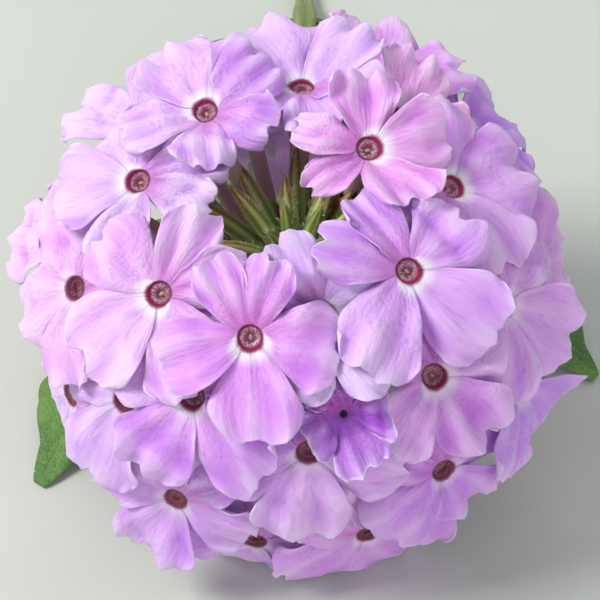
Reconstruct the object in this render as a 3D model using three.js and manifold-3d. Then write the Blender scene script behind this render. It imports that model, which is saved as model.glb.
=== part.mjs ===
// Garden verbena: one flowering shoot as picked, lying on its stem with the head turned up.
// Millimetres, +Z up. The origin is under the middle of the shoot, on the surface it lies on.
// The head is drawn in head axes: u to the right, v away from the front, w up along the flower axis,
// from the centre of the round head. One group then tilts and lifts it.

import * as THREE from 'three';
import { mergeVertices } from 'three/addons/utils/BufferGeometryUtils.js';
import Module from 'manifold-3d';

const wasm = await Module();
wasm.setup();

const DEG = Math.PI / 180;

// ---- driving dimensions ----
const HEAD_SIDE = 27.0; // flower axis to the throats of the florets at the sides
const HEAD_TOP = 23.0; // head centre to the throats of a floret on top
const HEAD_TILT = 17; // degrees that the flower axis leans to the front
const HEAD_HEIGHT = 22.0; // head centre above the surface

const EYE = 1.35; // radius of the throat's mouth
const REACH = 10.3; // throat centre to lobe tip on a full-size floret
const HALF_WIDTH = 4.3; // half the width of a full-size lobe
const BLADE = 0.6; // thickness of a petal or leaf
const GAP = 0.32; // air between neighbouring pieces
const THROAT_DEPTH = 1.7;
const TUBE_RADIUS = 0.9;
const NECK = 3.2; // the tube widens to the mouth over this length
const TUBE_FOOT = 1.6; // and tapers into its calyx over this length

const CALYX_LENGTH = 11.5;
const CALYX_RADIUS = 1.35;
const TOOTH = 1.7; // how far a calyx tooth stands past its rim
const AXIS_BOTTOM = -11.0; // ends of the flower axis, in head axes
const AXIS_TOP = 8.5;
const AXIS_RADIUS = 1.8;

const STEM_RADIUS = 1.35;
const NODE_RADIUS = 1.95; // swelling where a leaf pair stands
const STEM_END = 108; // cut end, behind the head
const FRONT_NODE = 40; // where the leaf pairs stand along the stem
const BACK_NODE = 78;

// ---- the florets, from the top of the head down ----
// name, bearing and polar angle on the head, how far the face turns to the light (0 to 1), turn about
// its own axis, size, upward cup of the lobes in degrees, level above the head's round form in mm
const LIGHT = headDirection(-90, 27);
const FLORETS = [
  ['corolla_01', 42, 21, 0.70, -27, 0.80, 2, 0.6],
  ['corolla_02', -33, 28, 0.62, -6, 1.00, -2, 1.2],
  ['corolla_03', -108, 32, 0.60, 23, 0.86, 0, 1.0],
  ['corolla_04', -148, 36, 0.58, 6, 0.97, 0, 0.6],
  ['corolla_05', 162, 40, 0.55, 19, 0.90, 0, 0.0],
  ['corolla_06', 127, 35, 0.60, -5, 0.86, 0, 0.8],
  ['corolla_07', 15, 38, 0.30, 10, 1.00, 8, 0.0],
  ['corolla_08', -78, 26, 0.20, 40, 0.90, 24, -1.0],
  ['corolla_09', 88, 38, 0.25, 36, 1.00, 18, 0.0],
  ['corolla_10', 51, 42, 0.50, 20, 0.84, 8, -0.8],
  ['corolla_11', -120, 50, 0.40, -8, 0.96, 0, 0.2],
  ['corolla_12', -77, 49, 0.30, 10, 0.60, 48, 0.6],
  ['corolla_13', -49, 50, 0.55, 3, 0.86, 0, 0.4],
  ['corolla_14', -87, 57, 0.00, -5, 1.08, 8, 0.6],
  ['corolla_15', -17, 56, 0.40, 0, 0.98, 0, 0.0],
  ['corolla_16', -170, 60, 0.40, 0, 0.96, 0, 0.2],
  ['corolla_17', -137, 63, 0.30, 10, 0.96, 0, 0.0],
  ['corolla_18', 42, 66, 0.45, 0, 1.00, 6, 0.4],
  ['corolla_19', 70, 64, 0.42, 14, 1.05, 14, 0.2],
  ['corolla_20', 106, 64, 0.42, 0, 1.05, 14, 0.0],
  ['corolla_21', 135, 64, 0.45, 20, 0.96, 8, 0.2],
  ['corolla_22', 8, 84, 0.40, 0, 0.94, 0, 0.4],
  ['corolla_23', -27, 80, 0.30, 0, 0.94, 0, 0.4],
  ['corolla_24', -55, 79, 0.25, 14, 0.96, 0, 0.0],
  ['corolla_25', -73, 104, 0.35, 0, 1.04, 0, 0.0],
  ['corolla_26', -100, 106, 0.35, 0, 1.04, 0, 0.0],
  ['corolla_27', -118, 86, 0.30, 0, 0.94, 0, 0.0],
  ['corolla_28', 167, 84, 0.40, 0, 0.94, 0, 0.6],
  ['corolla_29', -157, 94, 0.30, 0, 0.92, 0, 0.0],
  ['corolla_30', 90, 100, 0.20, 0, 1.00, 0, 0.0],
  ['corolla_31', 62, 100, 0.20, 0, 1.00, 0, 0.0],
  ['corolla_32', 118, 100, 0.20, 0, 1.00, 0, 0.0],
  ['corolla_33', 34, 98, 0.20, 0, 0.94, 0, 0.0],
  ['corolla_34', 146, 98, 0.20, 0, 0.94, 0, 0.0],
];

// ---- the lobes of one floret: 0 points outward on the head, 2 and 3 inward ----
const LOBE_AIM = [0, 80, 157, 203, 280];
const LOBE_SEAM = [-40, 40, 120, 180, 240, 320]; // where neighbouring lobes meet on the throat's ring
const LOBE_LENGTH = [1.06, 1.0, 0.97, 0.97, 1.0];
const LOBE_BREADTH = [1.12, 1.0, 0.72, 0.72, 1.0];
const SLIT = 1.5; // half the angle that stays open between two lobes, in degrees
const FULL_AT = 0.75; // share of its length at which a lobe reaches its full width
const ROWS = [0, 0.36, 0.7, 1]; // steps from the ring to the tip
const CUPPED = 25; // a floret whose lobes rise by more than this is half open
const COLUMNS = [-1, -0.5, 0, 0.5, 1]; // steps across
const FEW_COLUMNS = [0, 2, 4]; // the steps across that the ring and the first row have

// ---- small helpers ----

function headDirection(bearing, polar) {
  return new THREE.Vector3(
    Math.sin(polar * DEG) * Math.cos(bearing * DEG),
    Math.sin(polar * DEG) * Math.sin(bearing * DEG),
    Math.cos(polar * DEG),
  );
}

// A repeatable number from -1 to 1 for a floret, a lobe and a channel.
function vary(floret, lobe, channel) {
  const value = Math.sin(floret * 12.9898 + lobe * 78.233 + channel * 37.719) * 43758.5453;
  return (value - Math.floor(value)) * 2 - 1;
}

const clamp = (value, low, high) => Math.min(high, Math.max(low, value));
const mix = (a, b, share) => a + (b - a) * share;

// The triangles of one closed surface, welded where corners meet.
class Skin {
  constructor() {
    this.corners = [];
  }

  triangle(a, b, c) {
    for (const p of [a, b, c]) this.corners.push(p.x, p.y, p.z);
  }

  quad(a, b, c, d) {
    this.triangle(a, b, c);
    this.triangle(a, c, d);
  }

  // Side walls between two rings of points that run counter-clockwise about the path.
  band(ring, next) {
    ring.forEach((p, i) => {
      const j = (i + 1) % ring.length;
      this.quad(p, ring[j], next[j], next[i]);
    });
  }

  cap(ring, facingBack) {
    for (let i = 1; i < ring.length - 1; i += 1) {
      if (facingBack) this.triangle(ring[0], ring[i + 1], ring[i]);
      else this.triangle(ring[0], ring[i], ring[i + 1]);
    }
  }

  geometry() {
    const loose = new THREE.BufferGeometry();
    loose.setAttribute('position', new THREE.Float32BufferAttribute(this.corners, 3));
    return mergeVertices(loose, 1e-4);
  }
}

function solidOf(geometry) {
  return new wasm.Manifold(new wasm.Mesh({
    numProp: 3,
    vertProperties: new Float32Array(geometry.attributes.position.array),
    triVerts: new Uint32Array(geometry.index.array),
  }));
}

function geometryOf(solid) {
  const mesh = solid.getMesh();
  const geometry = new THREE.BufferGeometry();
  geometry.setAttribute('position', new THREE.Float32BufferAttribute(mesh.vertProperties, 3));
  geometry.setIndex(new THREE.Uint32BufferAttribute(mesh.triVerts, 1));
  return geometry;
}

function largestBody(solid) {
  return solid.decompose().reduce((best, body) => (body.volume() > best.volume() ? body : best));
}

// A ring of points about a centre; `radii` gives one radius for each point, or one for all.
function ringAbout(centre, first, second, radii, count, start = 0) {
  return Array.from({ length: count }, (_, i) => {
    const angle = (i / count) * 2 * Math.PI + start;
    const radius = Array.isArray(radii) ? radii[i] : radii;
    return centre.clone()
      .addScaledVector(first, radius * Math.cos(angle))
      .addScaledVector(second, radius * Math.sin(angle));
  });
}

// ---- where a floret stands and faces ----

function placeFloret(row, index) {
  const [name, bearing, polar, turnToLight, turn, size, cup, level] = row;
  const centre = headDirection(bearing, polar);
  centre.x *= HEAD_SIDE + level;
  centre.y *= HEAD_SIDE + level;
  centre.z *= HEAD_TOP + level;
  const face = headDirection(bearing, polar).lerp(LIGHT, turnToLight).normalize();
  const flat = headDirection(bearing, 90);
  const outward = flat.addScaledVector(face, -flat.dot(face)).normalize();
  outward.applyAxisAngle(face, turn * DEG);
  const side = face.clone().cross(outward);
  return { name, index, bearing, polar, centre, face, outward, side, size, cup, level };
}

// Half the angle in degrees from a lobe to its neighbour on that side, less the slit between them.
function spareAngle(lobe, across) {
  const next = across > 0 ? lobe + 1 : lobe + 4;
  const turn = (LOBE_AIM[next % 5] - LOBE_AIM[lobe] + 360) % 360;
  return Math.min(turn, 360 - turn) / 2 - SLIT;
}

// One point of a lobe: `along` runs 0 to 1 from the ring to the tip, `across` -1 to 1.
// The blade widens from its seam of the ring, has a notched round tip, leaves the face at an angle,
// stays on its own side of the slit to each neighbour, curls back along an arc and waves at its edge.
function lobePoint(floret, lobe, along, across) {
  const { index, size, cup } = floret;
  const length = REACH * size * LOBE_LENGTH[lobe] * (1 + 0.06 * vary(index, lobe, 1)) - EYE;
  const half = HALF_WIDTH * size * LOBE_BREADTH[lobe] * (1 + 0.08 * vary(index, lobe, 2));
  const seamHalf = (LOBE_SEAM[lobe + 1] - LOBE_SEAM[lobe]) / 2;
  const seamMiddle = (LOBE_SEAM[lobe + 1] + LOBE_SEAM[lobe]) / 2 - LOBE_AIM[lobe];
  const ring = (seamMiddle + seamHalf * across) * DEG;

  const notch = 0.085 * Math.exp(-((across / 0.26) ** 2));
  const roundness = 0.24 * Math.abs(across) ** 2.4;
  let x = EYE * Math.cos(ring) * (1 - along)
    + along * (EYE + length * (1 - (notch + roundness) * along ** 2.2));

  const grow = Math.sin((Math.PI / 2) * Math.min(1, along / FULL_AT)) ** 0.8;
  const taper = 1 - 0.10 * clamp((along - 0.8) / 0.2, 0, 1) ** 2;
  let y = EYE * Math.sin(ring) * (1 - grow) + across * half * grow * taper;

  const rise = (8 + cup + 7 * vary(index, lobe, 3)) * DEG;
  const curl = (26 + 16 * vary(index, lobe, 4)) * DEG;
  const slope = rise - 0.5 * curl * along;
  const run = x - EYE;
  let z = run * Math.tan(slope) * Math.min(1, along * 3);
  if (cup > CUPPED) {
    const past = Math.min(1, along * 4);
    x = mix(x, EYE + run * Math.cos(slope), past);
    z = run * Math.sin(slope) * past;
  }
  const widest = mix(99, x * Math.tan(spareAngle(lobe, across) * DEG), clamp(along * 4, 0, 1));
  y = clamp(y, -widest, widest);

  z += 0.9 * along ** 1.5 * (0.5 * vary(index, lobe, 5) * across - 0.55 * across * across);
  z += 0.35 * along ** 2 * Math.sin(1.82 * Math.PI * across + 3 * vary(index, lobe, 6));

  const aim = (LOBE_AIM[lobe] + 2 * vary(index, lobe, 7) * along) * DEG;
  return floret.centre.clone()
    .addScaledVector(floret.outward, x * Math.cos(aim) - y * Math.sin(aim))
    .addScaledVector(floret.side, x * Math.sin(aim) + y * Math.cos(aim))
    .addScaledVector(floret.face, z);
}

// ---- settling: where lobes of two florets meet, the higher floret's lobe lies on top ----
const LAYER = BLADE + GAP + 0.05; // distance between two blades that lie on each other
const SPREAD = 2.1; // sideways distance within which two points count as one on the other
const NEAR = 9; // only points this close before settling can ever meet
const WITHIN = 3.2; // and only points this close push each other in a round
const SETTLE_ROUNDS = 60;
const PUSH_SHARE = 0.6; // how much of a push is made in one round
const STIFF = 1.6; // a lobe is free to move from 1 / STIFF of its length on, and less so nearer the ring
const FLOOR_CLEAR = BLADE / 2 + 0.02; // a blade's middle above the surface it rests on
const SEAM_CLEAR = BLADE / 2 + 0.02; // a blade's middle from the plane through its seam

// Florets higher on the head, or raised by their level, lie over the others.
function fromTheTop(florets) {
  const depth = (floret) => floret.polar - 6 * floret.level;
  return [...florets].sort((a, b) => depth(a) - depth(b));
}

const floorUp = new THREE.Vector3(0, Math.sin(HEAD_TILT * DEG), Math.cos(HEAD_TILT * DEG));

function settle(florets) {
  const rank = new Map(fromTheTop(florets).map((floret, place) => [floret, -place]));
  const points = [];
  for (const floret of florets) {
    floret.points = LOBE_AIM.map((_, lobe) => ROWS.map((along, row) => COLUMNS.map((across) => {
      const home = lobePoint(floret, lobe, along, across);
      const free = Math.min(1, along * STIFF);
      const point = { home, at: home.clone(), rank: rank.get(floret), floret, free };
      points.push(point);
      return point;
    })));
  }
  const pairs = [];
  for (let i = 0; i < points.length; i += 1) {
    for (let j = i + 1; j < points.length; j += 1) {
      const a = points[i];
      const b = points[j];
      if (a.floret !== b.floret && a.home.distanceTo(b.home) < NEAR) {
        pairs.push(a.rank > b.rank ? [a, b] : [b, a]);
      }
    }
  }
  const up = new THREE.Vector3();
  const apart = new THREE.Vector3();
  for (let round = 0; round < SETTLE_ROUNDS; round += 1) {
    for (const point of points) {
      point.lift = 0;
      point.drop = 0;
    }
    for (const [upper, lower] of pairs) {
      up.addVectors(upper.at, lower.at).normalize();
      apart.subVectors(upper.at, lower.at);
      const height = apart.dot(up);
      if (height >= LAYER) continue;
      const aside = Math.sqrt(Math.max(0, apart.lengthSq() - height * height));
      if (aside >= SPREAD || apart.length() > WITHIN) continue;
      const push = (LAYER - height) * (1 - 0.5 * (aside / SPREAD) ** 2);
      const share = upper.free / (upper.free + lower.free + 1e-9);
      upper.lift = Math.max(upper.lift, push * share);
      lower.drop = Math.max(lower.drop, push * (1 - share));
    }
    for (const point of points) {
      up.copy(point.at).normalize();
      point.at.addScaledVector(up, (point.lift - point.drop) * PUSH_SHARE);
    }
    for (const floret of florets) floret.points.forEach(smoothLobe);
    for (const point of points) {
      const height = HEAD_HEIGHT + point.at.dot(floorUp);
      if (height < FLOOR_CLEAR) point.at.addScaledVector(floorUp, FLOOR_CLEAR - height);
    }
  }
}

// Spreads each point's move over its neighbours in the lobe, and holds the ring where it is.
function smoothLobe(lobe) {
  const moves = lobe.map((row) => row.map((point) => point.at.clone().sub(point.home)));
  const last = lobe.length - 1;
  lobe.forEach((row, i) => row.forEach((point, j) => {
    const around = new THREE.Vector3()
      .add(moves[Math.max(0, i - 1)][j])
      .add(moves[Math.min(last, i + 1)][j])
      .add(moves[i][Math.max(0, j - 1)])
      .add(moves[i][Math.min(row.length - 1, j + 1)]);
    const move = moves[i][j].clone().multiplyScalar(0.7).addScaledVector(around, 0.3 / 4);
    point.at.copy(point.home);
    if (i > 0) point.at.add(move);
  }));
}

// Moves a lobe's points clear of the upright planes through its two seams, so that lobes never cross.
function keepOffSeams(floret) {
  const { centre, outward, side, points } = floret;
  points.forEach((lobe, number) => {
    for (const [seam, turn] of [[LOBE_SEAM[number], 1], [LOBE_SEAM[number + 1], -1]]) {
      const inward = side.clone().multiplyScalar(turn * Math.cos(seam * DEG))
        .addScaledVector(outward, -turn * Math.sin(seam * DEG));
      for (const point of lobe.slice(1).flat()) {
        const clear = point.at.clone().sub(centre).dot(inward);
        point.at.addScaledVector(inward, Math.max(0, SEAM_CLEAR - clear));
      }
    }
  });
}

// ---- the path from the flower axis to a floret's face, and what grows along it ----

function stalk(floret) {
  const share = clamp((floret.polar - 18) / 90, 0, 1);
  const foot = new THREE.Vector3(0, 0, mix(AXIS_TOP - 3.5, AXIS_BOTTOM + 3, share))
    .addScaledVector(headDirection(floret.bearing, 90), AXIS_RADIUS * 0.4);
  const reach = floret.centre.distanceTo(foot);
  const knee = floret.centre.clone().addScaledVector(floret.face, -0.5 * reach);
  return new THREE.QuadraticBezierCurve3(foot, knee, floret.centre);
}

// Axes square to the path at a point of it, so that rings along it aren't twisted.
function frameAt(curve, share, reference) {
  const centre = curve.getPointAt(share);
  const ahead = curve.getTangentAt(share);
  const first = reference.clone().addScaledVector(ahead, -reference.dot(ahead)).normalize();
  const second = ahead.clone().cross(first);
  return { centre, ahead, first, second };
}

// A ribbed calyx widens from its foot to a rim with five teeth, and is a shallow funnel on top.
const CALYX_STEPS = [[0, 0.4], [0.45, 0.9], [1, 1]]; // share of the length, share of the radius
const SEAT_DEPTH = 1.6; // rim down to the bottom of the funnel, where the corolla's tube stands

function addCalyx(skin, curve, reference, length, radius, growth) {
  const total = curve.getLength();
  let previous = null;
  for (const [share, width] of CALYX_STEPS) {
    const f = frameAt(curve, (share * length) / total, reference);
    const ring = ringAbout(f.centre, f.first, f.second, radius * width + growth, 5);
    if (previous) skin.band(previous, ring);
    else skin.cap(ring, true);
    previous = ring;
  }
  const seat = curve.getPointAt((length - SEAT_DEPTH + growth) / total);
  const teeth = frameAt(curve, (length + TOOTH + growth) / total, reference);
  const half = Math.PI / 5;
  const tips = ringAbout(teeth.centre, teeth.first, teeth.second, radius * 1.1 + growth, 5, half);
  previous.forEach((corner, i) => {
    const next = previous[(i + 1) % 5];
    skin.triangle(corner, next, tips[i]);
    skin.triangle(corner, tips[i], seat);
    skin.triangle(tips[i], next, seat);
  });
}

// A closed calyx or a bud: a slim spindle with a pointed end.
function addBud(skin, curve, reference, length, radius, growth) {
  const total = curve.getLength();
  let previous = null;
  for (const [share, width] of [[0, 0.5], [0.35, 0.9], [0.75, 1]]) {
    const f = frameAt(curve, (share * length) / total, reference);
    const ring = ringAbout(f.centre, f.first, f.second, radius * width + growth, 4);
    if (previous) skin.band(previous, ring);
    else skin.cap(ring, true);
    previous = ring;
  }
  const tip = frameAt(curve, Math.min(1, (length + growth) / total), reference);
  previous.forEach((corner, i) => skin.triangle(corner, previous[(i + 1) % 4], tip.centre));
}

// ---- the buds in the middle: rings from the outside in ----
// how many, polar angle, length, radius, height of the foot on the axis
const BUD_RINGS = [
  [12, 66, 15.0, 1.0, AXIS_TOP - 2.6],
  [9, 46, 12.5, 0.95, AXIS_TOP - 1.4],
  [6, 26, 8.5, 0.85, AXIS_TOP - 0.8],
  [3, 9, 5.6, 0.75, AXIS_TOP - 0.4],
];

function budCurves() {
  const buds = [];
  BUD_RINGS.forEach(([count, polar, length, radius, height], ring) => {
    for (let i = 0; i < count; i += 1) {
      const bearing = (i * 360) / count + ring * 23 + 6 * vary(ring, i, 1);
      const lean = polar + 5 * vary(ring, i, 2);
      const long = length * (1 + 0.1 * vary(ring, i, 3));
      const foot = new THREE.Vector3(0, 0, height);
      const knee = foot.clone().addScaledVector(headDirection(bearing, lean * 0.8), long * 0.5);
      const tip = foot.clone().addScaledVector(headDirection(bearing, lean), long);
      const curve = new THREE.QuadraticBezierCurve3(foot, knee, tip);
      buds.push({ curve, reference: headDirection(bearing + 90, 90), length: long, radius });
    }
  });
  return buds;
}

// ---- crown: flower axis, calyces and buds, grown together ----

function axisSolid(growth) {
  const skin = new Skin();
  const right = new THREE.Vector3(1, 0, 0);
  const back = new THREE.Vector3(0, 1, 0);
  const steps = [[AXIS_BOTTOM - growth, 0.75], [-2, 1], [AXIS_TOP + growth, 0.7]];
  const rings = steps.map(([height, width]) => ringAbout(
    new THREE.Vector3(0, 0, height), right, back, AXIS_RADIUS * width + growth, 8,
  ));
  skin.cap(rings[0], true);
  skin.band(rings[0], rings[1]);
  skin.band(rings[1], rings[2]);
  skin.cap(rings[2], false);
  return solidOf(skin.geometry());
}

function crownSolid(florets, growth) {
  const parts = [axisSolid(growth)];
  for (const floret of florets) {
    const skin = new Skin();
    addCalyx(skin, floret.stalk, floret.outward, CALYX_LENGTH, CALYX_RADIUS, growth);
    parts.push(solidOf(skin.geometry()));
  }
  for (const bud of budCurves()) {
    const skin = new Skin();
    addBud(skin, bud.curve, bud.reference, bud.length, bud.radius, growth);
    parts.push(solidOf(skin.geometry()));
  }
  return wasm.Manifold.union(parts);
}

// ---- one corolla: five lobes, the cup of the throat and the tube ----

// The ring that lobes, throat and tube share; each lobe has two steps of it.
function ringAngles(lobe) {
  const middle = (LOBE_SEAM[lobe] + LOBE_SEAM[lobe + 1]) / 2;
  return [LOBE_SEAM[lobe], middle, LOBE_SEAM[(lobe + 1) % 5]];
}

function ringPoint(floret, radius, height, angle) {
  return floret.centre.clone()
    .addScaledVector(floret.outward, radius * Math.cos(angle * DEG))
    .addScaledVector(floret.side, radius * Math.sin(angle * DEG))
    .addScaledVector(floret.face, height);
}

// Middle points of a lobe, moved outward at its border when it is grown as a cutter.
function lobeGrid(floret, lobe, growth) {
  const middle = floret.points[lobe].map((row) => row.map((point) => point.at.clone()));
  if (growth === 0) return middle;
  const last = middle.length - 1;
  const grown = middle.map((row) => row.map((p) => p.clone()));
  for (let i = 1; i <= last; i += 1) {
    for (const [edge, inner] of [[0, 1], [4, 3]]) {
      const away = middle[i][edge].clone().sub(middle[i][inner]).normalize();
      grown[i][edge].addScaledVector(away, growth);
    }
  }
  for (let j = 0; j < 5; j += 1) {
    const away = middle[last][j].clone().sub(middle[last - 1][j]).normalize();
    grown[last][j].addScaledVector(away, growth);
  }
  return grown;
}

function gridNormal(grid, i, j, face) {
  if (i === 0) return face.clone();
  const last = grid.length - 1;
  const along = grid[Math.min(last, i + 1)][j].clone().sub(grid[i - 1][j]);
  const across = grid[i][Math.min(4, j + 1)].clone().sub(grid[i][Math.max(0, j - 1)]);
  return along.cross(across).normalize();
}

function corollaSolid(floret, growth) {
  const skin = new Skin();
  const half = BLADE / 2 + growth;
  for (let lobe = 0; lobe < 5; lobe += 1) {
    const grid = lobeGrid(floret, lobe, growth);
    const shift = (side) => {
      const skinGrid = grid.map((row, i) => row.map((p, j) => p.clone()
        .addScaledVector(gridNormal(grid, i, j, floret.face), side * half)));
      ringAngles(lobe).forEach((angle, step) => {
        skinGrid[0][FEW_COLUMNS[step]] = ringPoint(floret, EYE, side * half, angle);
      });
      return skinGrid;
    };
    const top = shift(1);
    const bottom = shift(-1);
    addBlade(skin, top, false);
    addBlade(skin, bottom, true);
    addRim(skin, top, bottom);
  }
  addThroat(skin, floret, half, growth);
  return solidOf(skin.geometry());
}

function addBlade(skin, grid, turned) {
  const put = (a, b, c) => (turned ? skin.triangle(a, c, b) : skin.triangle(a, b, c));
  const [ring, first, second] = grid;
  for (const j of [0, 2]) {
    put(ring[j], first[j], first[j + 2]);
    put(ring[j], first[j + 2], ring[j + 2]);
    put(first[j], second[j], second[j + 1]);
    put(first[j], second[j + 1], first[j + 2]);
    put(first[j + 2], second[j + 1], second[j + 2]);
  }
  for (let i = 2; i < grid.length - 1; i += 1) {
    for (let j = 0; j < 4; j += 1) {
      put(grid[i][j], grid[i + 1][j], grid[i + 1][j + 1]);
      put(grid[i][j], grid[i + 1][j + 1], grid[i][j + 1]);
    }
  }
}

function addRim(skin, top, bottom) {
  const last = top.length - 1;
  const border = [];
  for (let i = 0; i < last; i += 1) border.push([i, 0]);
  for (let j = 0; j < 4; j += 1) border.push([last, j]);
  for (let i = last; i >= 0; i -= 1) border.push([i, 4]);
  for (let n = 0; n < border.length - 1; n += 1) {
    const [i, j] = border[n];
    const [k, l] = border[n + 1];
    skin.quad(top[i][j], bottom[i][j], bottom[k][l], top[k][l]);
  }
}

// The throat is a shallow cup, and the tube under it narrows and ends just above its calyx.
function addThroat(skin, floret, half, growth) {
  const { centre, face, outward, stalk: curve } = floret;
  const ringAt = (radius, height, angles) => angles.map((angle) => ringPoint(floret, radius, height, angle));
  const seams = LOBE_SEAM.slice(0, 5);
  const allRound = seams.flatMap((_, lobe) => ringAngles(lobe).slice(0, 2));
  const mouth = ringAt(EYE, half, allRound);
  const under = ringAt(EYE, -half, allRound);
  const cup = ringAt(0.6, half - THROAT_DEPTH, seams);
  const floor = centre.clone().addScaledVector(face, half - THROAT_DEPTH - 0.2);

  const total = curve.getLength();
  const steps = [
    [1 - NECK / total, TUBE_RADIUS],
    [(CALYX_LENGTH + TUBE_FOOT) / total, TUBE_RADIUS],
    [(CALYX_LENGTH - growth) / total, TUBE_RADIUS * 0.5],
  ];
  const tubeRings = steps.map(([share, radius]) => {
    const at = frameAt(curve, share, outward);
    return seams.map((angle) => at.centre.clone()
      .addScaledVector(at.first, (radius + growth) * Math.cos(angle * DEG))
      .addScaledVector(at.second, (radius + growth) * Math.sin(angle * DEG)));
  });
  for (let i = 0; i < 5; i += 1) {
    const next = (i + 1) % 5;
    const [p, m, q] = [2 * i, 2 * i + 1, (2 * i + 2) % 10];
    skin.triangle(mouth[p], mouth[m], cup[i]);
    skin.triangle(mouth[m], mouth[q], cup[next]);
    skin.triangle(mouth[m], cup[next], cup[i]);
    skin.triangle(cup[i], cup[next], floor);
    skin.triangle(under[m], under[p], tubeRings[0][i]);
    skin.triangle(under[q], under[m], tubeRings[0][next]);
    skin.triangle(under[m], tubeRings[0][i], tubeRings[0][next]);
  }
  skin.band(tubeRings[1], tubeRings[0]);
  skin.band(tubeRings[2], tubeRings[1]);
  skin.cap(tubeRings[2], true);
}

// ---- stem ----
// A square stem with rounded corners. It bends down and back from under the flower axis, then lies
// along the surface with a slight sideways sweep.
const STEM_FLAT = 0.86; // flats and corners of its section, as shares of the radius
const STEM_CORNER = 1.12;
const BEND_END = 16; // where it lies down, past the foot of the flower axis
const STEM_SWEEP = 1.2;
const BETWEEN_NODES = [50, 60, 69, 90]; // more rings where the lying stem is plain
const axisDown = new THREE.Vector3(0, Math.sin(HEAD_TILT * DEG), -Math.cos(HEAD_TILT * DEG));
const stemStart = new THREE.Vector3(0, 0, HEAD_HEIGHT).addScaledVector(axisDown, GAP - AXIS_BOTTOM);
const lyingFrom = stemStart.y + BEND_END;

function stemSweep(y) {
  return STEM_SWEEP * Math.sin((Math.PI * (y - lyingFrom)) / (STEM_END - lyingFrom));
}

function stemCentres() {
  const restAt = (y) => new THREE.Vector3(stemSweep(y), y, STEM_FLAT * stemRadius(y) + 0.02);
  const down = restAt(lyingFrom);
  const bend = new THREE.CubicBezierCurve3(
    stemStart,
    stemStart.clone().addScaledVector(axisDown, 7),
    down.clone().add(new THREE.Vector3(0, -10, 0)),
    down,
  );
  const along = [lyingFrom + 7, ...BETWEEN_NODES, STEM_END];
  for (const node of [FRONT_NODE, BACK_NODE]) along.push(node - 3.5, node - 1.4, node + 1.4, node + 3.5);
  along.sort((a, b) => a - b);
  return [...bend.getPoints(7), ...along.map(restAt)];
}

function stemRadius(y) {
  const swell = [FRONT_NODE, BACK_NODE].reduce((sum, node) => sum + Math.exp(-(((y - node) / 2.6) ** 2)), 0);
  return mix(STEM_RADIUS, NODE_RADIUS, Math.min(1, swell));
}

function stemGeometry() {
  const centres = stemCentres();
  const right = new THREE.Vector3(1, 0, 0);
  const rings = centres.map((centre, i) => {
    const ahead = centres[Math.min(i + 1, centres.length - 1)].clone().sub(centres[Math.max(i - 1, 0)]);
    if (i === 0) ahead.copy(axisDown);
    ahead.normalize();
    const first = right.clone().addScaledVector(ahead, -ahead.x).normalize();
    const radius = stemRadius(centre.y);
    const radii = [0, 1, 2, 3].flatMap(() => [radius * STEM_FLAT, radius * STEM_CORNER]);
    return ringAbout(centre, first, ahead.clone().cross(first), radii, 8);
  });
  const skin = new Skin();
  skin.cap(rings[0], true);
  for (let i = 1; i < rings.length; i += 1) skin.band(rings[i - 1], rings[i]);
  skin.cap(rings[rings.length - 1], false);
  return skin.geometry();
}

// ---- leaves ----
// name, x of the foot, node along the stem, direction in degrees from +X, length, half width, arch
const LEAVES = [
  ['leaf_front_left', -1, FRONT_NODE, 234, 56, 10.5, 4.5],
  ['leaf_front_right', 1, FRONT_NODE, -38, 46, 9.5, 4.0],
  ['leaf_back_left', -1, BACK_NODE, 247, 46, 9.0, 3.5],
  ['leaf_back_right', 1, BACK_NODE, -63, 42, 8.5, 3.5],
];
const LEAF_STALK_HALF = 0.75;
const TEETH = 4; // lobes on each side of a leaf
const LEAF_COLUMNS = [-1, -0.5, 0, 0.5, 1];

// A leaf's middle surface: an arched midrib, a blade folded up from it, and lobes that point ahead.
function leafPoint(row, along, across, tooth) {
  const [, sign, node, heading, length, half, arch] = row;
  const ahead = new THREE.Vector3(Math.cos(heading * DEG), Math.sin(heading * DEG), 0);
  const left = new THREE.Vector3(-ahead.y, ahead.x, 0);
  const blade = clamp((along - 0.14) / 0.86, 0, 1);
  const envelope = Math.sin(Math.PI * blade ** 0.72) ** 0.75;
  const width = LEAF_STALK_HALF + (half - LEAF_STALK_HALF) * envelope * (tooth ? 1 : 0.6);
  const edge = Math.abs(across);
  const forward = tooth ? 0.07 * edge ** 1.5 * envelope : 0;
  const bend = 0.10 * sign * along * along;
  const z = mix(1.5, FLOOR_CLEAR, along) + arch * Math.sin(Math.PI * along ** 0.9)
    + 0.16 * edge * width * Math.sin(Math.PI * Math.min(1, along * 1.15)) * (1 - along);
  const foot = NODE_RADIUS * STEM_FLAT + GAP + LEAF_STALK_HALF * Math.abs(ahead.y);
  return new THREE.Vector3(stemSweep(node) + sign * foot, node, 0)
    .addScaledVector(ahead, length * (along + forward * (1 - along)))
    .addScaledVector(left, across * width - length * bend)
    .setZ(z);
}

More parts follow.
